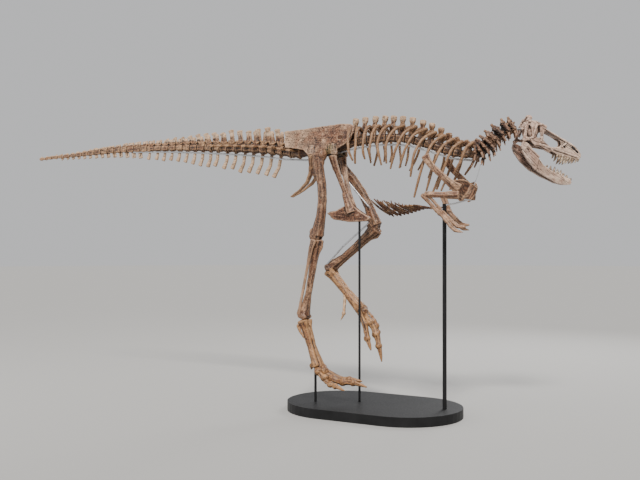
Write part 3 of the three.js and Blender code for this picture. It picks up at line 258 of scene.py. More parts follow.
def bone_material(name, mottle, tone, pale, rust, dark, seed=0.0, rust_amount=0.65, rough=0.5,
                  size=1.0, streak=1.0, tint=(0.92, 0.79, 0.66)):
    """Fossil bone: patches of three tones, painted shade where the form is hollow or marked as
    shaded, a painted highlight where it is proud, streaks and pits.
    """
    material, tree, shader = new_material(name)
    colors = bpy.context.scene.fossil_bone
    where = add(tree, "ShaderNodeTexCoord").outputs["Object"]
    grain = add(tree, "ShaderNodeAttribute", attribute_name="grain").outputs["Vector"]
    hollow, bleached, shaded, stain = (
        add(tree, "ShaderNodeAttribute", attribute_name=name).outputs["Fac"]
        for name in ("hollow", "bleached", "shaded", "stain")
    )
    masks = add(tree, "ShaderNodeGroup", node_tree=mottle)
    tree.links.new(where, masks.inputs["Vector"])
    tree.links.new(grain, masks.inputs["Grain"])
    masks.inputs["Seed"].default_value = seed
    masks.inputs["Size"].default_value = size
    part = masks.outputs

    def broken(mark, mask, stops):
        """A mark on the bone, broken up by one of the masks."""
        return maths(tree, "MULTIPLY", mark, ramp(tree, part[mask], stops))

    worn = ramp(tree, part["Streaks"], [(0.41, 0.92), (0.53, 0.0)])
    layers = (
        (ramp(tree, part["Blotches"], [(0.43, 0.0), (0.57, rust_amount)]), rust),
        (maths(tree, "MULTIPLY", worn, min(1.0, rust_amount / 0.65) * streak),
         tuple(c * 0.6 for c in rust)),
        (broken(bleached, "Blotches", [(0.34, 0.25), (0.56, 1.0)]), colors.bleached),
        (broken(stain, "Blotches", [(0.35, 0.2), (0.55, 1.0)]), colors.stain),
        # Painted shade where the mark called shaded is set: faces that look down or inwards, and
        # the trunk's vertebrae
        (broken(shaded, "Streaks", [(0.44, 0.95), (0.60, 0.3)]), PAINTED_SHADE_COLOR),
        (maths(tree, "MULTIPLY", part["Cracks"], 0.75), dark),
        (maths(tree, "MULTIPLY", part["Pits"], 0.45), dark),
        # Dark where the mark called hollow is high: painted shade in hollows and round the hip
        # socket, and sutures and the joints between vertebrae
        (ramp(tree, hollow, [(0.45, 0.0), (0.66, 1.0)]), dark),
        # Painted highlight: proud places are paler
        (ramp(tree, hollow, [(0.14, 0.55), (0.40, 0.0)]), pale),
    )
    base = blend(tree, ramp(tree, part["Patches"], [(0.47, 0.0), (0.62, 1.0)]), tone, pale)
    for amount, over in layers:
        base = blend(tree, amount, base, over)
    base = blend(tree, 1.0, base, tint, "MULTIPLY")
    tree.links.new(base, shader.inputs["Base Color"])
    tree.links.new(
        add(tree, "ShaderNodeMapRange", {"Value": part["Streaks"], "To Min": rough - 0.1,
                                         "To Max": rough + 0.16}).outputs[0],
        shader.inputs["Roughness"],
    )
    bump = add(tree, "ShaderNodeBump",
               {"Height": part["Height"], "Strength": 0.85, "Distance": 0.007})
    tree.links.new(bump.outputs["Normal"], shader.inputs["Normal"])
    return material


def metal_material(name, color, metallic, roughness, scale, wear):
    """Painted or bare metal with a faint uneven finish."""
    material, tree, shader = new_material(name)
    where = add(tree, "ShaderNodeTexCoord").outputs["Object"]
    cloud = noise(tree, where, scale, 5.0, 0.6)
    speck = noise(tree, where, scale * 14.0, 3.0, 0.6)
    tone = blend(tree, ramp(tree, cloud, [(0.35, 0.0), (0.68, 1.0)]),
                 color, tuple(min(1.0, c * (1.0 + wear) + 0.002) for c in color))
    tree.links.new(tone, shader.inputs["Base Color"])
    tree.links.new(
        add(tree, "ShaderNodeMapRange", {"Value": speck, "From Min": 0.3, "From Max": 0.7,
                                         "To Min": roughness - 0.06, "To Max": roughness + 0.08}
            ).outputs[0],
        shader.inputs["Roughness"],
    )
    shader.inputs["Metallic"].default_value = metallic
    shader.inputs["Specular IOR Level"].default_value = 0.24
    bump = add(tree, "ShaderNodeBump", {"Height": speck, "Strength": 0.12, "Distance": 0.001})
    tree.links.new(bump.outputs["Normal"], shader.inputs["Normal"])
    return material


MADE = {}


def recipes():
    """Each bone finish: main tone, pale tone, reddish tone, seed of its pattern, further values."""
    bone = bpy.context.scene.fossil_bone
    tan, cream, rust = (tuple(c) for c in (bone.tan, bone.cream, bone.rust))
    return (
        ("bone", tan, cream, rust, 0.0, {}),
        ("leg_bone", (0.20, 0.080, 0.030), (0.50, 0.31, 0.155), rust, 3.1,
         {"rust_amount": 0.7, "size": 0.8}),
        ("thigh_bone", (0.150, 0.066, 0.032), (0.46, 0.31, 0.215), rust, 11.3,
         {"rust_amount": 0.75, "size": 0.7}),
        ("rib_bone", (0.105, 0.047, 0.022), (0.43, 0.28, 0.17), rust, 5.7, {}),
        ("pale_bone", tuple(bone.skull_tone), (0.74, 0.61, 0.51), (0.17, 0.075, 0.045), 7.3,
         {"rust_amount": 0.5, "size": 0.6, "streak": 0.7, "tint": (0.96, 0.86, 0.83)}),
        ("neck_bone", (0.075, 0.030, 0.015), (0.42, 0.28, 0.20), rust, 8.8, {"rust_amount": 0.75}),
        ("arm_bone", (0.19, 0.088, 0.050), (0.50, 0.35, 0.25), rust, 6.2, {"rust_amount": 0.55}),
        ("hip_bone", (0.19, 0.090, 0.050), (0.58, 0.43, 0.33), (0.055, 0.017, 0.009), 4.4,
         {"rust_amount": 0.8, "size": 0.62, "streak": 0.6}),
        ("tooth", (0.42, 0.31, 0.22), (0.66, 0.56, 0.45), (0.14, 0.07, 0.035), 9.1,
         {"rust_amount": 0.6, "rough": 0.34, "tint": (0.95, 0.90, 0.84)}),
        ("dark_bone", (0.07, 0.036, 0.019), tan, rust, 1.7, {"rust_amount": 0.6}),
        ("cream_bone", (0.15, 0.066, 0.028), (0.42, 0.27, 0.15), rust, 2.3, {"rust_amount": 0.5}),
    )


def materials():
    """The finishes, made once, from the settings."""
    if MADE:
        return MADE
    mount = bpy.context.scene.fossil_mount
    dark = tuple(bpy.context.scene.fossil_bone.dark)
    mottle = mottle_group()
    for name, tone, pale, rust, seed, more in recipes():
        MADE[name] = bone_material(f"fossil_{name}", mottle, tone, pale, rust, dark, seed, **more)
    MADE["black_paint"] = metal_material("black_paint", tuple(mount.paint), 0.0, 0.5, 7.0, 0.6)
    MADE["steel"] = metal_material("steel", tuple(mount.steel), 0.9, 0.34, 20.0, 0.4)
    return MADE


# Bone surface

def smooth_line(keys, steps):
    """Points on a smooth curve through keys."""
    keys = np.array(keys, float)
    keys = np.vstack([2 * keys[0] - keys[1], keys, 2 * keys[-1] - keys[-2]])
    points = []
    for a, b, c, d in zip(keys, keys[1:], keys[2:], keys[3:]):
        for t in np.arange(steps) / steps:
            points.append(0.5 * (2 * b + (c - a) * t + (2 * a - 5 * b + 4 * c - d) * t * t
                                 + (3 * b - a - 3 * c + d) * t ** 3))
    points.append(keys[-2])
    return np.array(points)


CURVE = smooth_line(BACKBONE, 40)
LENGTH_AT = np.concatenate([[0], np.cumsum(np.linalg.norm(np.diff(CURVE, axis=0), axis=1))])


def joints(length):
    """Distances along the backbone of the joints between the vertebrae of one length."""
    *ends, count = SPINE_LENGTHS[length]
    start, end = (np.interp(x, CURVE[:, 0], LENGTH_AT) for x in ends)
    return start + (end - start) * np.arange(count + 1) / count


def along_backbone(points):
    """For each point: distance along the backbone, distance from it, and height above it."""
    near = np.zeros(len(points), int)
    for first in range(0, len(points), BLOCK):
        block = points[first:first + BLOCK]
        gaps = ((block[:, None, ::2] - CURVE[None, ::2, ::2]) ** 2).sum(2)
        near[first:first + BLOCK] = gaps.argmin(1) * 2
    near = np.minimum(near, len(CURVE) - 1)
    ahead = CURVE[np.minimum(near + 1, len(CURVE) - 1)] - CURVE[np.maximum(near - 1, 0)]
    ahead /= np.linalg.norm(ahead, axis=1)[:, None]
    offset = points - CURVE[near]
    step = (offset * ahead).sum(1)
    away = np.linalg.norm(offset - ahead * step[:, None], axis=1)
    return LENGTH_AT[near] + step, away, offset[:, 2]


def spine_frame(distance):
    """Centre, forward, left and up of the backbone at a distance along it."""
    centre = Vector([np.interp(distance, LENGTH_AT, CURVE[:, axis]) for axis in range(3)])
    ahead = Vector([np.interp(distance + 0.01, LENGTH_AT, CURVE[:, axis])
                    - np.interp(distance - 0.01, LENGTH_AT, CURVE[:, axis]) for axis in range(3)])
    ahead.normalize()
    left = Vector((0, 0, 1)).cross(ahead).normalized()
    return centre, ahead, left, ahead.cross(left)


def bar(shape, start, end, thick, thin, flat=1.0, segments=8):
    """A tapered round bar between two places, as one detail form."""
    start, end = Vector(start), Vector(end)
    bmesh.ops.create_cone(
        shape, cap_ends=True, segments=segments, radius1=thick, radius2=thin,
        depth=(end - start).length,
        matrix=Matrix.Translation((start + end) / 2)
        @ (end - start).to_track_quat("Z", "Y").to_matrix().to_4x4()
        @ Matrix.Diagonal((flat, 1.0, 1.0, 1.0)),
    )


def knob(shape, place, radii):
    """A rounded lump as one detail form."""
    bmesh.ops.create_icosphere(
        shape, subdivisions=2, radius=1.0,
        matrix=Matrix.Translation(place) @ Matrix.Diagonal((*radii, 1.0)),
    )


def read(mesh, kind="co"):
    """Places or normals of a mesh's vertices as an array."""
    values = np.empty(len(mesh.vertices) * 3, np.float32)
    if kind == "co":
        mesh.vertices.foreach_get("co", values)
    else:
        mesh.vertex_normals.foreach_get("vector", values)
    return values.reshape(-1, 3).astype(float)


def placed(name, data):
    """An object in the scene that shows a mesh, curve, lamp or camera."""
    piece = bpy.data.objects.new(name, data)
    bpy.context.scene.collection.objects.link(piece)
    return piece


def shown_mesh(piece):
    """A new mesh of a piece as it looks with its modifiers."""
    graph = bpy.context.evaluated_depsgraph_get()
    return bpy.data.meshes.new_from_object(piece.evaluated_get(graph))


def evaluated(piece):
    """Applies all modifiers of a piece and gives its new mesh."""
    mesh = shown_mesh(piece)
    piece.modifiers.clear()
    old, piece.data = piece.data, mesh
    bpy.data.meshes.remove(old)
    return mesh


def smoothed(piece, times, group=""):
    """Evens out the surface of a piece a number of times and gives its new mesh."""
    smooth = piece.modifiers.new("smooth", "SMOOTH")
    smooth.iterations = times
    smooth.factor = 0.5
    smooth.vertex_group = group
    return evaluated(piece)


def weigh(piece, name, weights):
    """Vertex group from an array of weights, in a few steps."""
    group = piece.vertex_groups.get(name) or piece.vertex_groups.new(name=name)
    levels = np.round(np.clip(weights, 0, 1) * 8).astype(int)
    for level in range(9):
        members = np.nonzero(levels == level)[0].tolist()
        if members:
            group.add(members, level / 8, "REPLACE")
    return name


def pushed(piece, distance, group=""):
    """Moves the surface of a piece outwards, or inwards where the distance is negative."""
    push = piece.modifiers.new("push", "DISPLACE")
    push.strength = distance
    push.mid_level = 0.0
    push.vertex_group = group


def roughened(piece, height, size):
    """Adds lumps of one size to the surface of a piece."""
    name = f"lumps_{int(size * 1000)}"
    clouds = bpy.data.textures.get(name) or bpy.data.textures.new(name, "CLOUDS")
    clouds.noise_scale = size
    clouds.noise_depth = 2
    clouds.noise_basis = "BLENDER_ORIGINAL"
    lumps = piece.modifiers.new("roughen", "DISPLACE")
    lumps.texture = clouds
    lumps.texture_coords = "LOCAL"
    lumps.strength = height
    lumps.mid_level = 0.5


def skinned(name, node, cell, details=()):
    """A closed skin over a copy of a node's solid and its detail forms."""
    shape = bmesh.new()
    shape.from_mesh(NODES[node].data)
    bmesh.ops.remove_doubles(shape, verts=shape.verts[:], dist=1e-5)
    for detail in details:
        detail(shape)
    mesh = bpy.data.meshes.new(name)
    shape.to_mesh(mesh)
    shape.free()
    mesh.materials.clear()
    piece = placed(name, mesh)
    skin = piece.modifiers.new("skin", "REMESH")
    skin.mode = "VOXEL"
    skin.voxel_size = cell
    skin.adaptivity = 0.0
    skin.use_smooth_shade = True
    evaluated(piece)
    return piece


def store(mesh, name, kind, values):
    """Keeps an array on the vertices of a mesh."""
    layer = mesh.attributes.get(name) or mesh.attributes.new(name, kind, "POINT")
    key = "vector" if kind == "FLOAT_VECTOR" else "value"
    layer.data.foreach_set(key, np.ascontiguousarray(values, np.float32).ravel())


def mark(mesh, points, hollow):
    """Stores the direction of the grain and how hollow the form is, for the material."""
    middle = points.mean(0)
    _, axes = np.linalg.eigh(np.cov((points - middle).T))
    store(mesh, "grain", "FLOAT_VECTOR", (points - middle) @ axes)
    store(mesh, "hollow", "FLOAT", np.clip(hollow, 0, 1))


def finished(piece, finish, node=None):
    """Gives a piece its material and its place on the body."""
    piece.data.materials.clear()
    piece.data.materials.append(materials()[finish])
    for face in piece.data.polygons:
        face.use_smooth = True
    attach(piece, "root")
    if node:
        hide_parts(node)
    return piece


def swept(name, lines):
    """Mesh of round tapered rods, each a line of places with half widths."""
    curve = bpy.data.curves.new(name, "CURVE")
    curve.dimensions = "3D"
    curve.bevel_depth = 1.0
    curve.bevel_resolution = 2
    curve.use_fill_caps = True
    for line in lines:
        spline = curve.splines.new("POLY")
        spline.points.add(len(line) - 1)
        for point, (place, radius) in zip(spline.points, line):
            point.co = (*place, 1.0)
            point.radius = radius
    carrier = placed(name, curve)
    mesh = shown_mesh(carrier)
    bpy.data.objects.remove(carrier)
    bpy.data.curves.remove(curve)
    mesh.name = name
    return mesh


def strands(name, lines, finish, node=None):
    """A piece made of round tapered rods."""
    mesh = swept(name, lines)
    piece = placed(name, mesh)
    points = read(mesh)
    mark(mesh, points, np.full(len(points), EVEN))
    return finished(piece, finish, node)


def add_swept(shape, lines):
    """Adds round tapered rods to a shape as detail forms."""
    mesh = swept("detail", lines)
    shape.from_mesh(mesh)
    bpy.data.meshes.remove(mesh)


def bent(keys, radii, count):
    """A smooth line of places with half widths through three keys."""
    first, middle, last = (Vector(key) for key in keys)
    line = []
    for part in np.linspace(0, 1, count):
        place = first.lerp(middle, part).lerp(middle.lerp(last, part), part)
        line.append((place, float(np.interp(part, np.linspace(0, 1, len(radii)), radii))))
    return line


def bone(name, node, finish, slot, soften, cell_scale=1.0, length=None, details=(), lumps=1.0,
         swell=0.0008, bleached=None, shaded=None, stain=None, seams_and_shade=None):
    """One bone or run of bones: skinned, softened, roughened, and marked for its material."""
    settings = bpy.context.scene.fossil_bone
    piece = skinned(name, node, settings.cell * cell_scale, details)
    points = read(piece.data)
    thick = np.ones(len(points))
    if length:
        place, away, rise = along_backbone(points)
        thick = np.clip((CORE - away) / CORE_EDGE, 0.0, 1.0)
    lo, hi = points.min(0), points.max(0)
    smoothed(piece, soften, weigh(piece, "thick", thick) if length else "")
    smoothed(piece, 4)
    if length:
        # Grooves between the vertebrae
        gap = np.abs(place[:, None] - joints(length)[None, 1:-1]).min(1)
        groove = np.clip(1 - gap / GROOVE, 0, 1) * np.clip((0.075 - away) / 0.02, 0, 1)
        weigh(piece, "groove", groove)
        pushed(piece, -settings.joint_depth, "groove")
        evaluated(piece)
    pushed(piece, swell)
    roughened(piece, settings.roughen * lumps * 2.2, 0.045)
    roughened(piece, settings.roughen * lumps, 0.014)
    mesh = evaluated(piece)
    # Hollow places lie below the same surface when that is smoothed
    points = read(mesh)
    normals = read(mesh, "normal")
    soft = smoothed(piece, 10)
    hollow = ((read(soft) - points) * normals).sum(1) / HOLLOW_DEPTH + EVEN
    # The surface goes back to where it was, within the box of the first skin
    inside = np.clip(points, lo + 1e-4, hi - 1e-4)
    soft.vertices.foreach_set("co", inside.astype(np.float32).ravel())
    soft.update()
    if length:
        joint = np.clip(1.25 - gap / 0.013, 0, 1) * np.clip((0.10 - away) / 0.03, 0, 1)
        hollow = hollow + joint * 0.5
    # Sutures, and painted shade round the hip socket and in the skull's small hole and nostril, are
    # dark like hollows
    if seams_and_shade:
        hollow = np.maximum(hollow, seams_and_shade(points))
    mark(soft, points, hollow)
    if bleached:
        pale = bleached(points, rise if length else None)
        store(soft, "bleached", "FLOAT", np.clip(pale, 0, 1))
    # Painted shade: faces that look down are darker
    painted_shade = np.clip(0.10 - 0.95 * normals[:, 2], 0, 1) * 0.72
    if shaded:
        painted_shade = np.maximum(painted_shade, shaded(points, normals))
    store(soft, "shaded", "FLOAT", np.clip(painted_shade, 0, 1))
    if stain:
        store(soft, "stain", "FLOAT", np.clip(stain(points), 0, 1))
    piece.vertex_groups.clear()
    return finished(piece, finish, node)


# The head: place of the jaw joint, its turn, and the pitch of skull and lower jaw in degrees
HEAD_AT = Vector((1.328, 0.220, 2.495))
HEAD_YAW = 46.0
HEAD_PITCH = 14.0
JAW_PITCH = 34.0
# The skull's half width at even places from its rear to its tip, and its length
SKULL_HALF_WIDTH = (0.088, 0.088, 0.073, 0.055, 0.045, 0.039, 0.035, 0.030, 0.020)
SKULL_LENGTH = 0.640
# Lengths of the teeth from the rear of a row to its tip, in millimetres
UPPER_TEETH = (34, 54, 68, 64, 70, 58, 50, 36, 24)
LOWER_TEETH = (24, 40, 56, 50, 54, 44, 38, 26)


def head_frame(pitch):
    """Forward, left and up of the head or jaw."""
    yaw, pitch = math.radians(HEAD_YAW), math.radians(pitch)
    level = Vector((math.cos(yaw), math.sin(yaw), 0.0))
    ahead = level * math.cos(pitch) - Vector((0.0, 0.0, math.sin(pitch)))
    left = Vector((-math.sin(yaw), math.cos(yaw), 0.0))
    return ahead, left, ahead.cross(left)


def in_head(points, pitch=HEAD_PITCH):
    """Points measured forward, left and up from the jaw joint."""
    return (points - np.array(HEAD_AT)) @ np.array([tuple(axis) for axis in head_frame(pitch)]).T


def skull_inner_shade(points, normals):
    """Painted shade: faces of the skull that look at its own middle, and faces near the middle that
    look down, are dark.
    """
    local = in_head(points)
    facing = normals @ np.array(head_frame(HEAD_PITCH)[1])
    inward = -facing * np.sign(local[:, 1])
    below = -(normals @ np.array(head_frame(HEAD_PITCH)[2])) * (np.abs(local[:, 1]) < 0.05)
    return np.maximum((inward - 0.1) * 2.2, (below - 0.3) * 1.5) * (np.abs(local[:, 1]) > 0.006)


def jaw_inner_shade(side):
    """Painted shade: faces of a lower jaw that look at the other jaw are dark."""
    def inside(points, normals):
        return (-side * (normals @ np.array(head_frame(JAW_PITCH)[1])) - 0.1) * 1.4
    return inside


def jaw_details(side):
    """The outer plate of a lower jaw."""
    def detail(shape):
        ahead, left, top = head_frame(JAW_PITCH)
        for x, z in ((0.070, -0.028), (0.088, -0.032), (0.106, -0.036)):
            middle = HEAD_AT + ahead * x + left * side * 0.068 + top * z
            bar(shape, middle - left * 0.004, middle + left * 0.004, 0.019, 0.019)
        ridge = HEAD_AT + ahead * 0.05 + left * side * 0.082 - top * 0.004
        bar(shape, ridge, ridge + ahead * 0.17 - left * side * 0.018 - top * 0.006, 0.010, 0.008)
    return detail


def jaw_seams(points):
    """Sutures of the lower jaw as thin dark lines."""
    local = in_head(points, JAW_PITCH)
    first = np.abs(local[:, 0] - 0.245 + 0.35 * (local[:, 2] + 0.07))
    second = np.abs(local[:, 2] + 0.058 + 0.12 * local[:, 0]) + (local[:, 0] > 0.25)
    hook = np.abs(np.hypot(local[:, 0] - 0.085, local[:, 2] + 0.052) - 0.026)
    hook = hook + (local[:, 2] < -0.045) + (np.abs(local[:, 0] - 0.09) > 0.04)
    return np.clip(1 - np.minimum.reduce([first, second, hook]) / 0.005, 0, 1) * 0.95


def skull_seams(points):
    """Sutures of the skull as thin dark lines, and painted shade for a small hole and the slit of
    the nostril.
    """
    local = in_head(points)
    x, z = local[:, 0], local[:, 2]
    lines = [
        np.abs(x - 0.43 + 0.5 * (z - 0.07)) + (z > 0.12),
        np.abs(z - 0.045 - 0.08 * (x - 0.2)) + (x > 0.3),
        np.abs(z - 0.128 + 0.11 * (x - 0.4)) + (x < 0.35),
    ]
    seam = np.clip(1 - np.minimum.reduce(lines) / 0.0035, 0, 1) * 0.85
    hole = np.hypot(x - 0.447, z - 0.079) < 0.010
    slit = (np.abs(x - 0.558) < 0.042) & (np.abs(z - 0.088 + 0.42 * (x - 0.558)) < 0.010)
    return np.maximum(seam, (hole | slit) * 1.0)


def upper_gum(x):
    """Height of the upper jaw's tooth row."""
    return float(np.interp(x, (0.385, 0.47, 0.62), (-0.004, -0.006, 0.012)))


def upper_side(x):
    """Distance of the upper tooth row from the skull's middle."""
    places = np.linspace(0, SKULL_LENGTH, len(SKULL_HALF_WIDTH))
    return float(np.interp(x, places, SKULL_HALF_WIDTH)) - 0.0065


def lower_gum(x):
    """Height of the lower jaw's tooth row."""
    return float(np.interp(x, (0.3, 0.387, 0.478, 0.607), (-0.038, -0.034, -0.012, 0.020)))


def lower_side(x):
    """Distance of the lower tooth row from the head's middle."""
    return max(0.082 - 0.128 * x, 0.0097)


def teeth(rows, pitch, start, end, gum, outward, up):
    """Curved teeth of both sides, from the rear of the row to the tip."""
    ahead, left, top = head_frame(pitch)
    rng = np.random.default_rng(len(rows))
    lines = []
    for side in OUTWARD:
        for number, length in enumerate(rows):
            x = start + (end - start) * (number + 0.25 * rng.random()) / (len(rows) - 0.75)
            size = length * 1e-3 * (0.8 + 0.35 * rng.random())
            root = HEAD_AT + ahead * x + left * side * outward(x) + top * (gum(x) - up * 0.010)
            width = 0.0074 + size * 0.085
            bulge = root + top * up * (size * 0.55 + 0.010) + ahead * 0.004
            tip = root + top * up * (size + 0.010) - ahead * size * 0.24 + left * side * 0.002
            taper = (width, width, width * 0.9, width * 0.6, 0.0006)
            lines.append(bent((root, bulge, tip), taper, 8))
    return lines


# Forms of each side of the skull, measured forward, outward and up from the jaw joint.
# Knobs are a place and its radii, ridges are two places with a half width at each.
SKULL_KNOBS = (
    ((0.205, 0.040, 0.198), (0.020, 0.014, 0.020)),
    ((0.142, 0.066, 0.200), (0.018, 0.016, 0.012)),
    ((0.030, 0.072, 0.196), (0.015, 0.013, 0.013)),
    ((0.006, 0.086, 0.016), (0.015, 0.018, 0.016)),
    ((0.048, 0.026, 0.240), (0.022, 0.020, 0.018)),
    ((0.030, 0.046, 0.216), (0.020, 0.018, 0.016)),
    ((0.088, 0.050, 0.125), (0.046, 0.020, 0.060)),
)
SKULL_RIDGES = (
    ((0.245, 0.030, 0.172), (0.520, 0.016, 0.128), 0.011, 0.007),
    ((0.165, 0.080, 0.022), (0.300, 0.056, 0.026), 0.012, 0.008),
    ((0.330, 0.050, 0.030), (0.600, 0.026, 0.030), 0.010, 0.010),
    ((0.084, 0.084, 0.052), (0.105, 0.074, 0.190), 0.009, 0.010),
    ((0.182, 0.066, 0.055), (0.196, 0.046, 0.190), 0.008, 0.010),
    ((0.410, 0.040, 0.070), (0.455, 0.030, 0.118), 0.008, 0.008),
    ((0.020, 0.050, 0.060), (0.030, 0.046, 0.170), 0.012, 0.015),
)


def skull_details(shape):
    """Bosses, horns and ridges of the skull's outer side, and the braincase within."""
    ahead, left, top = head_frame(HEAD_PITCH)

    def at(x, y, z):
        return HEAD_AT + ahead * x + left * y + top * z

    for side in OUTWARD:
        for (x, y, z), radii in SKULL_KNOBS:
            knob(shape, at(x, side * y, z), radii)
        for *ends, thick, thin in SKULL_RIDGES:
            start, end = (at(x, side * y, z) for x, y, z in ends)
            bar(shape, start, end, thick, thin)
    knob(shape, at(0.040, 0.0, 0.252), (0.020, 0.022, 0.014))
    for x, z in ((0.27, 0.176), (0.31, 0.168), (0.35, 0.160), (0.39, 0.153), (0.44, 0.146)):
        knob(shape, at(x, 0.0, z), (0.018, 0.014, 0.010))


def pubis_flare(shape):
    """The shafts of the pubis widen towards its foot."""
    for side in OUTWARD:
        bar(shape, (-0.290, side * 0.036, 2.080), (-0.225, side * 0.016, 1.890), 0.026, 0.052)
    bar(shape, (-0.450, 0, 1.868), (-0.100, 0, 1.838), 0.030, 0.030)
    bar(shape, (-0.470, 0, 1.884), (-0.260, 0, 1.890), 0.022, 0.034)
    knob(shape, (-0.160, 0.0, 1.862), (0.060, 0.034, 0.036))
    knob(shape, (-0.245, 0.0, 1.885), (0.075, 0.044, 0.045))


def femur_ends(node):
    """The rounded crest and the two condyles of a thigh bone."""
    points = read(NODES[node].data)

    def detail(shape):
        top = points[points[:, 2] > points[:, 2].max() - 0.10].mean(0)
        low = points[points[:, 2] < points[:, 2].min() + 0.07]
        reach = (low.max(0) - low.min(0)) / 2
        low = (low.max(0) + low.min(0)) / 2
        knob(shape, top + (0.020, 0.0, 0.02), (0.050, 0.055, 0.066))
        knob(shape, top + (-0.028, 0.0, -0.05), (0.030, 0.045, 0.070))
        for way in OUTWARD:
            knob(shape, low + (-0.012, way * reach[1] * 0.52, -0.005),
                 (reach[0] * 0.86, reach[1] * 0.44, 0.055))
    return detail


def knuckles(node, places, growth):
    """Rounded joints along a toe, set from the width of its solid."""
    points = read(NODES[node].data)
    middle = points.mean(0)
    axis = np.linalg.svd(points - middle, full_matrices=False)[2][0]
    if axis[2] > 0:
        axis = -axis
    along = (points - middle) @ axis
    low, high = along.min(), along.max()

    def detail(shape):
        for place in places:
            near = points[np.abs(along - low - place * (high - low)) < 0.06 * (high - low)]
            if len(near) < 3:
                continue
            centre = (near.max(0) + near.min(0)) / 2
            reach = np.linalg.norm(near - centre, axis=1).max() * growth
            knob(shape, centre, (reach, reach, reach))
    return detail


# The hip socket's centre, forward and up, in metres
SOCKET_X, SOCKET_Z = -0.40, 2.37


def hip_shadow_and_lines(points):
    """Painted shadow as a dark ring round the hip socket, and a few dark lines that fan out above
    it.
    """
    x, z = points[:, 0] - SOCKET_X, points[:, 2] - SOCKET_Z
    out = np.hypot(x, z)
    turn = np.arctan2(z, x)
    lines = [np.abs(turn - way) * out + 0.02 * (out < start) for way, start in
             ((1.05, 0.16), (1.55, 0.14), (2.2, 0.2), (0.62, 0.22))]
    fan = np.clip(1 - np.minimum.reduce(lines) / 0.007, 0, 1) * (out < 0.34) * 0.62
    return np.maximum(np.clip((0.10 - out) / 0.03, 0, 0.9), fan)


def patch(place, reach):
    """A soft round patch about a place."""
    def mask(points):
        return np.exp(-((points - np.array(place)) ** 2).sum(1) / reach ** 2) * 1.4
    return mask


# Heights of the tail's spines above its centre line, from the tip to the hips
TAIL_HEIGHTS = (0.020, 0.036, 0.070, 0.095, 0.172, 0.200)


def tail_part(x):
    """How far a place is along the tail, from 0 at its tip to 1 at the hips."""
    tip, root, _ = SPINE_LENGTHS["tail"]
    return (x - tip) / (root - tip)


def tail_height(part):
    """Height of the spines at a part of the tail."""
    return np.interp(part, np.linspace(0, 1, len(TAIL_HEIGHTS)), TAIL_HEIGHTS)


def tail_bleach(points, rise):
    """Chevrons and the tips of the spines are paler than the rest of the tail."""
    part = tail_part(points[:, 0])
    tall = tail_height(part)
    return np.maximum((-rise - 0.012 - 0.062 * part) / 0.015, (rise / tall - 0.66) / 0.12 * 0.9)


def trunk_bleach(points, rise):
    """The tips of the trunk's spines are pale."""
    return (rise - 0.15) / 0.02 * 0.9


def neck_bleach(points, rise):
    """The tips of the neck's spines are pale."""
    return (rise - 0.095) / 0.03 * 0.6


def skull_bleach(points, rise):
    """The skull is paler towards its snout."""
    return (in_head(points)[:, 0] - 0.02) / 0.15 * 0.30


def jaw_bleach(points, rise):
    """The lower jaw is paler towards its tip."""
    return (in_head(points, JAW_PITCH)[:, 0] - 0.10) / 0.2 * 0.5


def hip_bleach(points, rise):
    """The rear of the ilium is paler."""
    return (-0.52 - points[:, 0]) / 0.25 * 0.28


def all_bleached(points, rise):
    """Pale all over."""
    return np.ones(len(points))


def trunk_shade(points, normals):
    """Painted shade: the vertebrae of the trunk are darker than its ribs and the tips of its
    spines.
    """
    _, away, rise = along_backbone(points)
    return np.clip((CORE - away) / CORE_EDGE, 0, 0.95) * (rise < 0.14)


# Ribs, front to rear, in millimetres: the same course as in the solids
RIB_DROP = (180, 327, 362, 455, 300, 252, 283, 251, 271, 215, 208, 237, 194)
RIB_SWEEP = (84, 139, 135, 154, 90, 104, 97, 40, -8, 5, -33, -28, -96)
RIB_REACH = (150, 180, 200, 225, 240, 247, 250, 250, 247, 243, 238, 232, 218)
RIB_LEAD = (55, 58, 72, 76, 88, 90, 86, 62, 22, 2, 6, -4, 0)
RIB_MIDDLE = (-23, -60, -62, -62, -46, -30, -28, -36, -28, -10, 16, 36, 50)
RIB_TURN_DROP = (60, 105, 118, 150, 86, 60, 84, 70, 66, 110, 92, 66, 80)


def smooth_ribs(side):
    """Trims the ribs of one side to stubs and carries them on as smooth round ones."""
    marks = joints("rib_cage")
    count = len(marks) - 1

    def mix(low, high, part):
        return low + (high - low) * part

    def detail(shape):
        bmesh.ops.bisect_plane(
            shape, geom=shape.verts[:] + shape.edges[:] + shape.faces[:], dist=1e-5,
            plane_co=(0, side * 0.070, 0), plane_no=(0, side, 0), clear_outer=True,
        )
        bmesh.ops.holes_fill(shape, edges=[e for e in shape.edges if e.is_boundary], sides=0)
        lines = []
        for number in range(count):
            index = count - 1 - number
            middle, _, left, up = spine_frame((marks[number] + marks[number + 1]) / 2)
            drop = RIB_DROP[index] * (0.95 if side > 0 else 1.0)
            reach, lead, bow = RIB_REACH[index], RIB_LEAD[index], RIB_MIDDLE[index]
            rise, turn = 92 + 24 * index / (count - 1), -RIB_TURN_DROP[index]
            tip = -12 - RIB_SWEEP[index]
            offsets = [
                (lead, 84, rise),
                (mix(lead, bow, 0.56), mix(96, reach, 0.66), mix(rise, turn, 0.34)),
                (bow, reach, turn),
                (mix(bow, tip, 0.5), reach * 0.98, mix(turn, -drop, 0.52)),
                (tip, mix(reach, 90, 0.22), -drop),
            ]
            keys = [middle + left * side * 0.006 + up * (rise - 26) * 1e-3]
            keys += [middle + Vector((x, side * y, z)) * 1e-3 for x, y, z in offsets]
            points = smooth_line(keys, 6)
            radii = np.interp(np.linspace(0, 5, len(points)), range(6),
                              (0.0160, 0.0165, 0.0130, 0.0118, 0.0122, 0.0085))
            lines.append(list(zip(points, radii)))
        add_swept(shape, lines)
    return detail


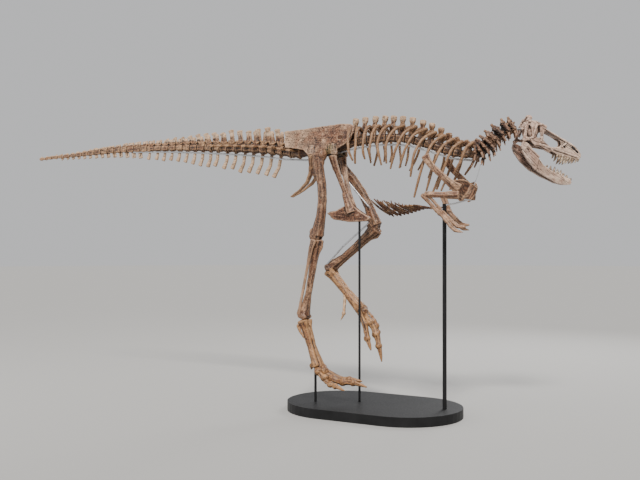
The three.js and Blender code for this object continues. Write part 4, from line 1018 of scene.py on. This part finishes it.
def extent(shape):
    """Where a shape starts and ends along the skeleton, with a little to spare."""
    places = [vertex.co.x for vertex in shape.verts]
    return min(places) - 0.02, max(places) + 0.02


def spine_details(length, arch, reach, stalk, mound=0.0):
    """Joint prongs and short side prongs of each vertebra in a length of backbone."""
    marks = joints(length)
    count = len(marks) - 1

    def detail(shape):
        lo, hi = extent(shape)
        for number, (rear, front) in enumerate(zip(marks, marks[1:])):
            middle, ahead, left, up = spine_frame((rear + front) / 2)
            if not lo < middle.x < hi:
                continue
            size = (front - rear) / 2
            grow = arch(number / count)
            for side in OUTWARD:
                foot = middle + up * grow * 0.75 + left * side * grow * 0.28
                tip = middle + ahead * size * 0.95 + up * grow * 1.15 + left * side * grow * 0.38
                bar(shape, foot, tip, grow * 0.24, grow * 0.13, 0.8, 6)
                tip = middle - ahead * size * 0.9 + up * grow * 1.3 + left * side * grow * 0.30
                bar(shape, foot, tip, grow * 0.24, grow * 0.12, 0.8, 6)
                if mound:
                    knob(shape, middle + up * grow * 0.72,
                         (size * 0.72, grow * 0.42 + 0.004, grow * mound))
                if reach:
                    out = middle - ahead * size * 0.25 + up * grow * stalk + left * side * reach
                    bar(shape, foot, out, grow * 0.26, grow * 0.14, 1.6, 6)
    return detail


def tail_spines(shape):
    """Broader blades and irregular tips of the tail's spines."""
    marks = joints("tail")
    rng = np.random.default_rng(21)
    lo, hi = extent(shape)
    for rear, front in zip(marks, marks[1:]):
        middle, ahead, _, up = spine_frame((rear + front) / 2)
        shift = rng.random(3) - 0.5
        part = tail_part(middle.x)
        if not lo < middle.x < hi or part < 0.2:
            continue
        tall = float(tail_height(part)) * (0.93 + 0.12 * shift[0])
        size = (front - rear) / 2
        foot = middle + up * tall * 0.40
        tip = middle + up * tall * 0.88 - ahead * size * (0.30 + 0.4 * shift[1])
        bar(shape, foot, tip, size * 0.52, size * (0.34 + 0.14 * shift[2]), 0.8)
        knob(shape, tip,
             (size * (0.46 + 0.2 * shift[1]), 0.006 + 0.009 * part, 0.010 + 0.018 * part))


def neck_spines(length):
    """Taller spines and side struts of the neck."""
    marks = joints(length)

    def detail(shape):
        for rear, front in zip(marks, marks[1:]):
            middle, ahead, left, up = spine_frame((rear + front) / 2)
            bar(shape, middle + up * 0.05, middle + up * 0.128 - ahead * 0.012, 0.018, 0.011)
            for side in OUTWARD:
                hip = middle + up * 0.012 + left * side * 0.040
                low = middle - up * 0.060 + left * side * 0.066 - ahead * 0.018
                bar(shape, hip, low, 0.013, 0.010)
                bar(shape, middle + up * 0.070 + left * side * 0.024,
                    hip - ahead * 0.004 + left * side * 0.018, 0.010, 0.014)
    return detail


def belly_lines():
    """Rows of slim belly ribs that cross at the midline, and the bar that ends at the pole."""
    rng = np.random.default_rng(12)
    rows, rear, pitch = 12, 0.120, 0.0380
    span = (rows - 1) * pitch

    def keyed(x, keys):
        return float(np.interp((x - rear) / span, np.linspace(0, 1, len(keys)), keys))

    def low(x):
        return keyed(x, (1.868, 1.850, 1.852, 1.870, 1.898, 1.916))

    lines = []
    for row in range(rows):
        for side in OUTWARD:
            x = rear + (row + 0.12 * side) * pitch
            rise = keyed(x, (0.128, 0.134, 0.128, 0.106, 0.074, 0.044)) + 0.006 * rng.normal()
            reach = keyed(x, (0.110, 0.150, 0.160, 0.150, 0.120, 0.090))
            start = (x - 0.084, side * reach, low(x - 0.084) + rise)
            middle = (x - 0.030, side * reach * 0.50, low(x - 0.030) + rise * 0.42)
            end = (x + 0.055, side * -0.014, low(x + 0.055) + 0.003 * rng.normal())
            lines.append(bent((start, middle, end), (0.0054, 0.0094, 0.0104, 0.0094, 0.0066), 12))
    end = rear + span
    lines.append(bent(((end - 0.024, 0.008, low(end)), (end + 0.05, 0.03, low(end)),
                       (0.680, 0.048, low(end) + 0.008)), (0.006, 0.006), 6))
    return lines


class FOSSIL_OT_tail(bpy.types.Operator):
    """Tail: its vertebrae with spines, wings and chevrons"""

    bl_idname = "fossil.tail"
    bl_label = "Tail"

    def execute(self, context):
        for number in range(1, 5):
            prongs = spine_details("tail", lambda part: 0.012 + 0.058 * part, 0.0, 0.0, 0.86)
            bone(f"tail_bones_{number}", f"tail_{number}", "bone", "bone", 6, 0.95, "tail",
                 (prongs, tail_spines), swell=0.003, bleached=tail_bleach)
        return {"FINISHED"}


class FOSSIL_OT_trunk(bpy.types.Operator):
    """Trunk and neck: vertebrae and ribs"""

    bl_idname = "fossil.trunk"
    bl_label = "Trunk and neck"

    def execute(self, context):
        for side, sign in zip(SIDES, OUTWARD):
            bone(f"ribs_{side}", f"rib_cage_{side}", "rib_bone", "bone", 5, 0.98, "rib_cage",
                 (smooth_ribs(sign),), swell=0.001, bleached=trunk_bleach, shaded=trunk_shade)
        for part in ("neck_rear", "neck_front"):
            prongs = spine_details(part, lambda place: 0.060, 0.072, 0.2, 0.8)
            bone(f"{part}_bones", part, "neck_bone", "bone", 3, 0.75, part,
                 (prongs, neck_spines(part)), bleached=neck_bleach)
        strands("belly_ribs", belly_lines(), "cream_bone", "gastralia")
        return {"FINISHED"}


class FOSSIL_OT_head(bpy.types.Operator):
    """Skull and the two lower jaws"""

    bl_idname = "fossil.head"
    bl_label = "Head"

    def execute(self, context):
        bone("skull_bone", "skull", "pale_bone", "pale_bone", 2, 0.70, lumps=0.9,
             bleached=skull_bleach, details=(skull_details,), shaded=skull_inner_shade, seams_and_shade=skull_seams)
        for side, sign in zip(SIDES, OUTWARD):
            bone(f"jaw_{side}", f"lower_jaw_{side}", "pale_bone", "pale_bone", 2, 0.62, lumps=0.9,
                 bleached=jaw_bleach, details=(jaw_details(sign),), shaded=jaw_inner_shade(sign),
                 seams_and_shade=jaw_seams,
                 stain=patch((1.52, 0.36, 2.36), 0.05) if sign < 0 else None)
        upper = teeth(UPPER_TEETH, HEAD_PITCH, 0.385, 0.622, upper_gum, upper_side, -1)
        lower = teeth(LOWER_TEETH, JAW_PITCH, 0.335, 0.618, lower_gum, lower_side, 1)
        strands("upper_teeth", upper, "tooth")
        strands("lower_teeth", lower, "tooth")
        return {"FINISHED"}


class FOSSIL_OT_girdles(bpy.types.Operator):
    """Hips and shoulders"""

    bl_idname = "fossil.girdles"
    bl_label = "Hips and shoulders"

    def execute(self, context):
        bone("sacrum_bone", "sacrum", "dark_bone", "dark_bone", 8, 1.0, "sacrum")
        bone("pubis_bone", "pubis", "hip_bone", "bone", 10, details=(pubis_flare,))
        bone("furcula_bone", "furcula", "cream_bone", "cream_bone", 0, 0.7)
        for side in SIDES:
            bone(f"ilium_bone_{side}", f"ilium_{side}", "hip_bone", "bone", 6, lumps=1.5,
                 bleached=hip_bleach, seams_and_shade=hip_shadow_and_lines,
                 stain=patch((-0.40, 0.1 if side == "left" else -0.1, 2.49), 0.05))
            bone(f"ischium_bone_{side}", f"ischium_{side}", "bone", "bone", 8)
            bone(f"scapula_bone_{side}", f"scapula_{side}", "arm_bone", "bone", 12, 0.8,
                 lumps=0.8, swell=0.004)
        return {"FINISHED"}


class FOSSIL_OT_limbs(bpy.types.Operator):
    """Arms and legs"""

    bl_idname = "fossil.limbs"
    bl_label = "Arms and legs"

    def execute(self, context):
        for side in SIDES:
            for part in ("humerus", "ulna", "radius", "hand"):
                bone(f"{part}_bone_{side}", f"{part}_{side}", "arm_bone", "bone", 3, 0.7,
                     swell=0.008 if part == "hand" else 0.0055)
            slim = 0.012 if side == "left" else 0.007
            parts = (("femur", 0.001, "thigh_bone"), ("tibia", 0.001, "thigh_bone"),
                     ("metatarsus", slim, "leg_bone"))
            for part, more, look in parts:
                ends = (femur_ends(f"femur_{side}"),) if part == "femur" else ()
                bone(f"{part}_bone_{side}", f"{part}_{side}", look, "bone", 14, 1.0,
                     details=ends, lumps=1.1, swell=more)
            bone(f"fibula_bone_{side}", f"fibula_{side}", "thigh_bone", "bone", 6, 0.9, swell=0.005)
            for number in range(1, 5):
                pale = side == "left" and number == 1
                bone(f"toe_bone_{number}_{side}", f"toe_{number}_{side}", "leg_bone", "bone",
                     2, 0.75, swell=0.002 if pale else 0.006,
                     details=(knuckles(f"toe_{number}_{side}", (0.06, 0.30, 0.52, 0.70), 1.05),),
                     bleached=all_bleached if pale else None)
        return {"FINISHED"}


def thicker_rod(node):
    """A bent rod of the stand, a little thicker than its solid."""
    rod = placed(node.replace("stand_", "") + "_metal", NODES[node].data.copy())
    pushed(rod, ROD_SWELL)
    evaluated(rod)
    rod.data.materials.clear()
    rod.data.materials.append(materials()["steel"])
    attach(rod, "root")
    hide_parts(node)


class FOSSIL_OT_mount(bpy.types.Operator):
    """Stand: base, poles and rods"""

    bl_idname = "fossil.mount"
    bl_label = "Stand"

    def execute(self, context):
        for node, piece in NODES.items():
            if not node.startswith("stand_"):
                continue
            if "rod" in node:
                thicker_rod(node)
                continue
            painted = node == "stand_base" or node.endswith("_pole")
            piece.data.materials.clear()
            piece.data.materials.append(materials()["black_paint" if painted else "steel"])
        return {"FINISHED"}


# Camera: its place, the level direction that it looks in, and its tilt upwards in degrees
CAMERA_AT = (3.568, -7.330, 1.58)
CAMERA_AHEAD = (-0.4924, 0.8704)
CAMERA_TILT = 0.33
# The place that the lamps point at
LIT = (-0.4, 0.0, 1.9)


def lamp(name, kind, place, strength, size, tone=(1.0, 1.0, 1.0)):
    """A lamp that points at the skeleton; size is an angle for a sun and a width otherwise."""
    light = bpy.data.lights.new(name, kind)
    light.energy = strength
    light.color = tone
    if kind == "SUN":
        light.angle = size
    else:
        light.shape = "DISK"
        light.size = size
    piece = placed(name, light)
    piece.location = place
    piece.rotation_euler = (Vector(LIT) - Vector(place)).to_track_quat("-Z", "Y").to_euler()


class FOSSIL_OT_stage(bpy.types.Operator):
    """Floor, backdrop, lights and camera"""

    bl_idname = "fossil.stage"
    bl_label = "Stage"

    def execute(self, context):
        settings = context.scene.fossil_stage
        material, tree, shader = new_material("floor")
        where = add(tree, "ShaderNodeTexCoord").outputs["Object"]
        cloud = noise(tree, where, 0.8, 3.0, 0.5)
        tone = tuple(settings.floor_tone)
        tree.links.new(
            blend(tree, cloud, tone, tuple(c * 0.98 for c in tone)),
            shader.inputs["Base Color"],
        )
        shader.inputs["Roughness"].default_value = 0.85
        shape = bmesh.new()
        bmesh.ops.create_circle(shape, cap_ends=True, radius=60.0, segments=64)
        mesh = bpy.data.meshes.new("floor")
        shape.to_mesh(mesh)
        shape.free()
        mesh.materials.append(material)
        floor = placed("floor", mesh)
        world = bpy.data.worlds.new("studio")
        world.use_nodes = True
        sky = world.node_tree.nodes["Background"]
        sky.inputs["Color"].default_value = (0.86, 0.865, 0.88, 1.0)
        sky.inputs["Strength"].default_value = 0.72
        context.scene.world = world
        key = settings.key_power
        lamp("key", "SUN", (1.4, -4.2, 6.6), key, 0.22, (1.0, 0.965, 0.91))
        lamp("fill", "AREA", (-7.0, -4.5, 3.0), key * 30.0, 4.0)
        lamp("rim", "AREA", (0.5, 7.0, 5.0), key * 60.0, 3.0)
        lens = bpy.data.cameras.new("camera")
        lens.lens = settings.focal
        lens.sensor_width = 36.0
        lens.sensor_fit = "HORIZONTAL"
        lens.clip_end = 200.0
        camera = placed("camera", lens)
        x, y = CAMERA_AHEAD
        right = Vector((y, -x, 0.0))
        tilt = math.radians(CAMERA_TILT)
        ahead = Vector((x * math.cos(tilt), y * math.cos(tilt), math.sin(tilt)))
        up = right.cross(ahead)
        turn = Matrix((right, up, -ahead)).transposed()
        camera.matrix_world = Matrix.Translation(CAMERA_AT) @ turn.to_4x4()
        context.scene.camera = camera
        return {"FINISHED"}


class FOSSIL_PT_panel(bpy.types.Panel):
    """Lists the pieces and their settings"""

    bl_idname = "FOSSIL_PT_panel"
    bl_label = "Fossil skeleton"
    bl_space_type = "VIEW_3D"
    bl_region_type = "UI"
    bl_category = "Skeleton"

    def draw(self, context):
        for operator in OPERATORS:
            self.layout.operator(operator.bl_idname)
        for group in ("fossil_bone", "fossil_mount", "fossil_stage"):
            settings = getattr(context.scene, group)
            for label in settings.bl_rna.properties.keys():
                if label not in ("rna_type", "name"):
                    self.layout.prop(settings, label)


OPERATORS = (
    FOSSIL_OT_tail, FOSSIL_OT_trunk, FOSSIL_OT_head, FOSSIL_OT_girdles, FOSSIL_OT_limbs,
    FOSSIL_OT_mount, FOSSIL_OT_stage,
)
CLASSES = (BoneSettings, MountSettings, StageSettings) + OPERATORS + (FOSSIL_PT_panel,)


def register():
    """Adds the add-on's classes and settings."""
    for kind in CLASSES:
        bpy.utils.register_class(kind)
    bpy.types.Scene.fossil_bone = PointerProperty(type=BoneSettings)
    bpy.types.Scene.fossil_mount = PointerProperty(type=MountSettings)
    bpy.types.Scene.fossil_stage = PointerProperty(type=StageSettings)


def unregister():
    """Takes the add-on's classes and settings away."""
    for name in ("fossil_bone", "fossil_mount", "fossil_stage"):
        delattr(bpy.types.Scene, name)
    for kind in reversed(CLASSES):
        bpy.utils.unregister_class(kind)


def main():
    """Builds every piece in order."""
    register()
    for operator in OPERATORS:
        family, action = operator.bl_idname.split(".")
        getattr(getattr(bpy.ops, family), action)()


if __name__ == "__main__":
    main()
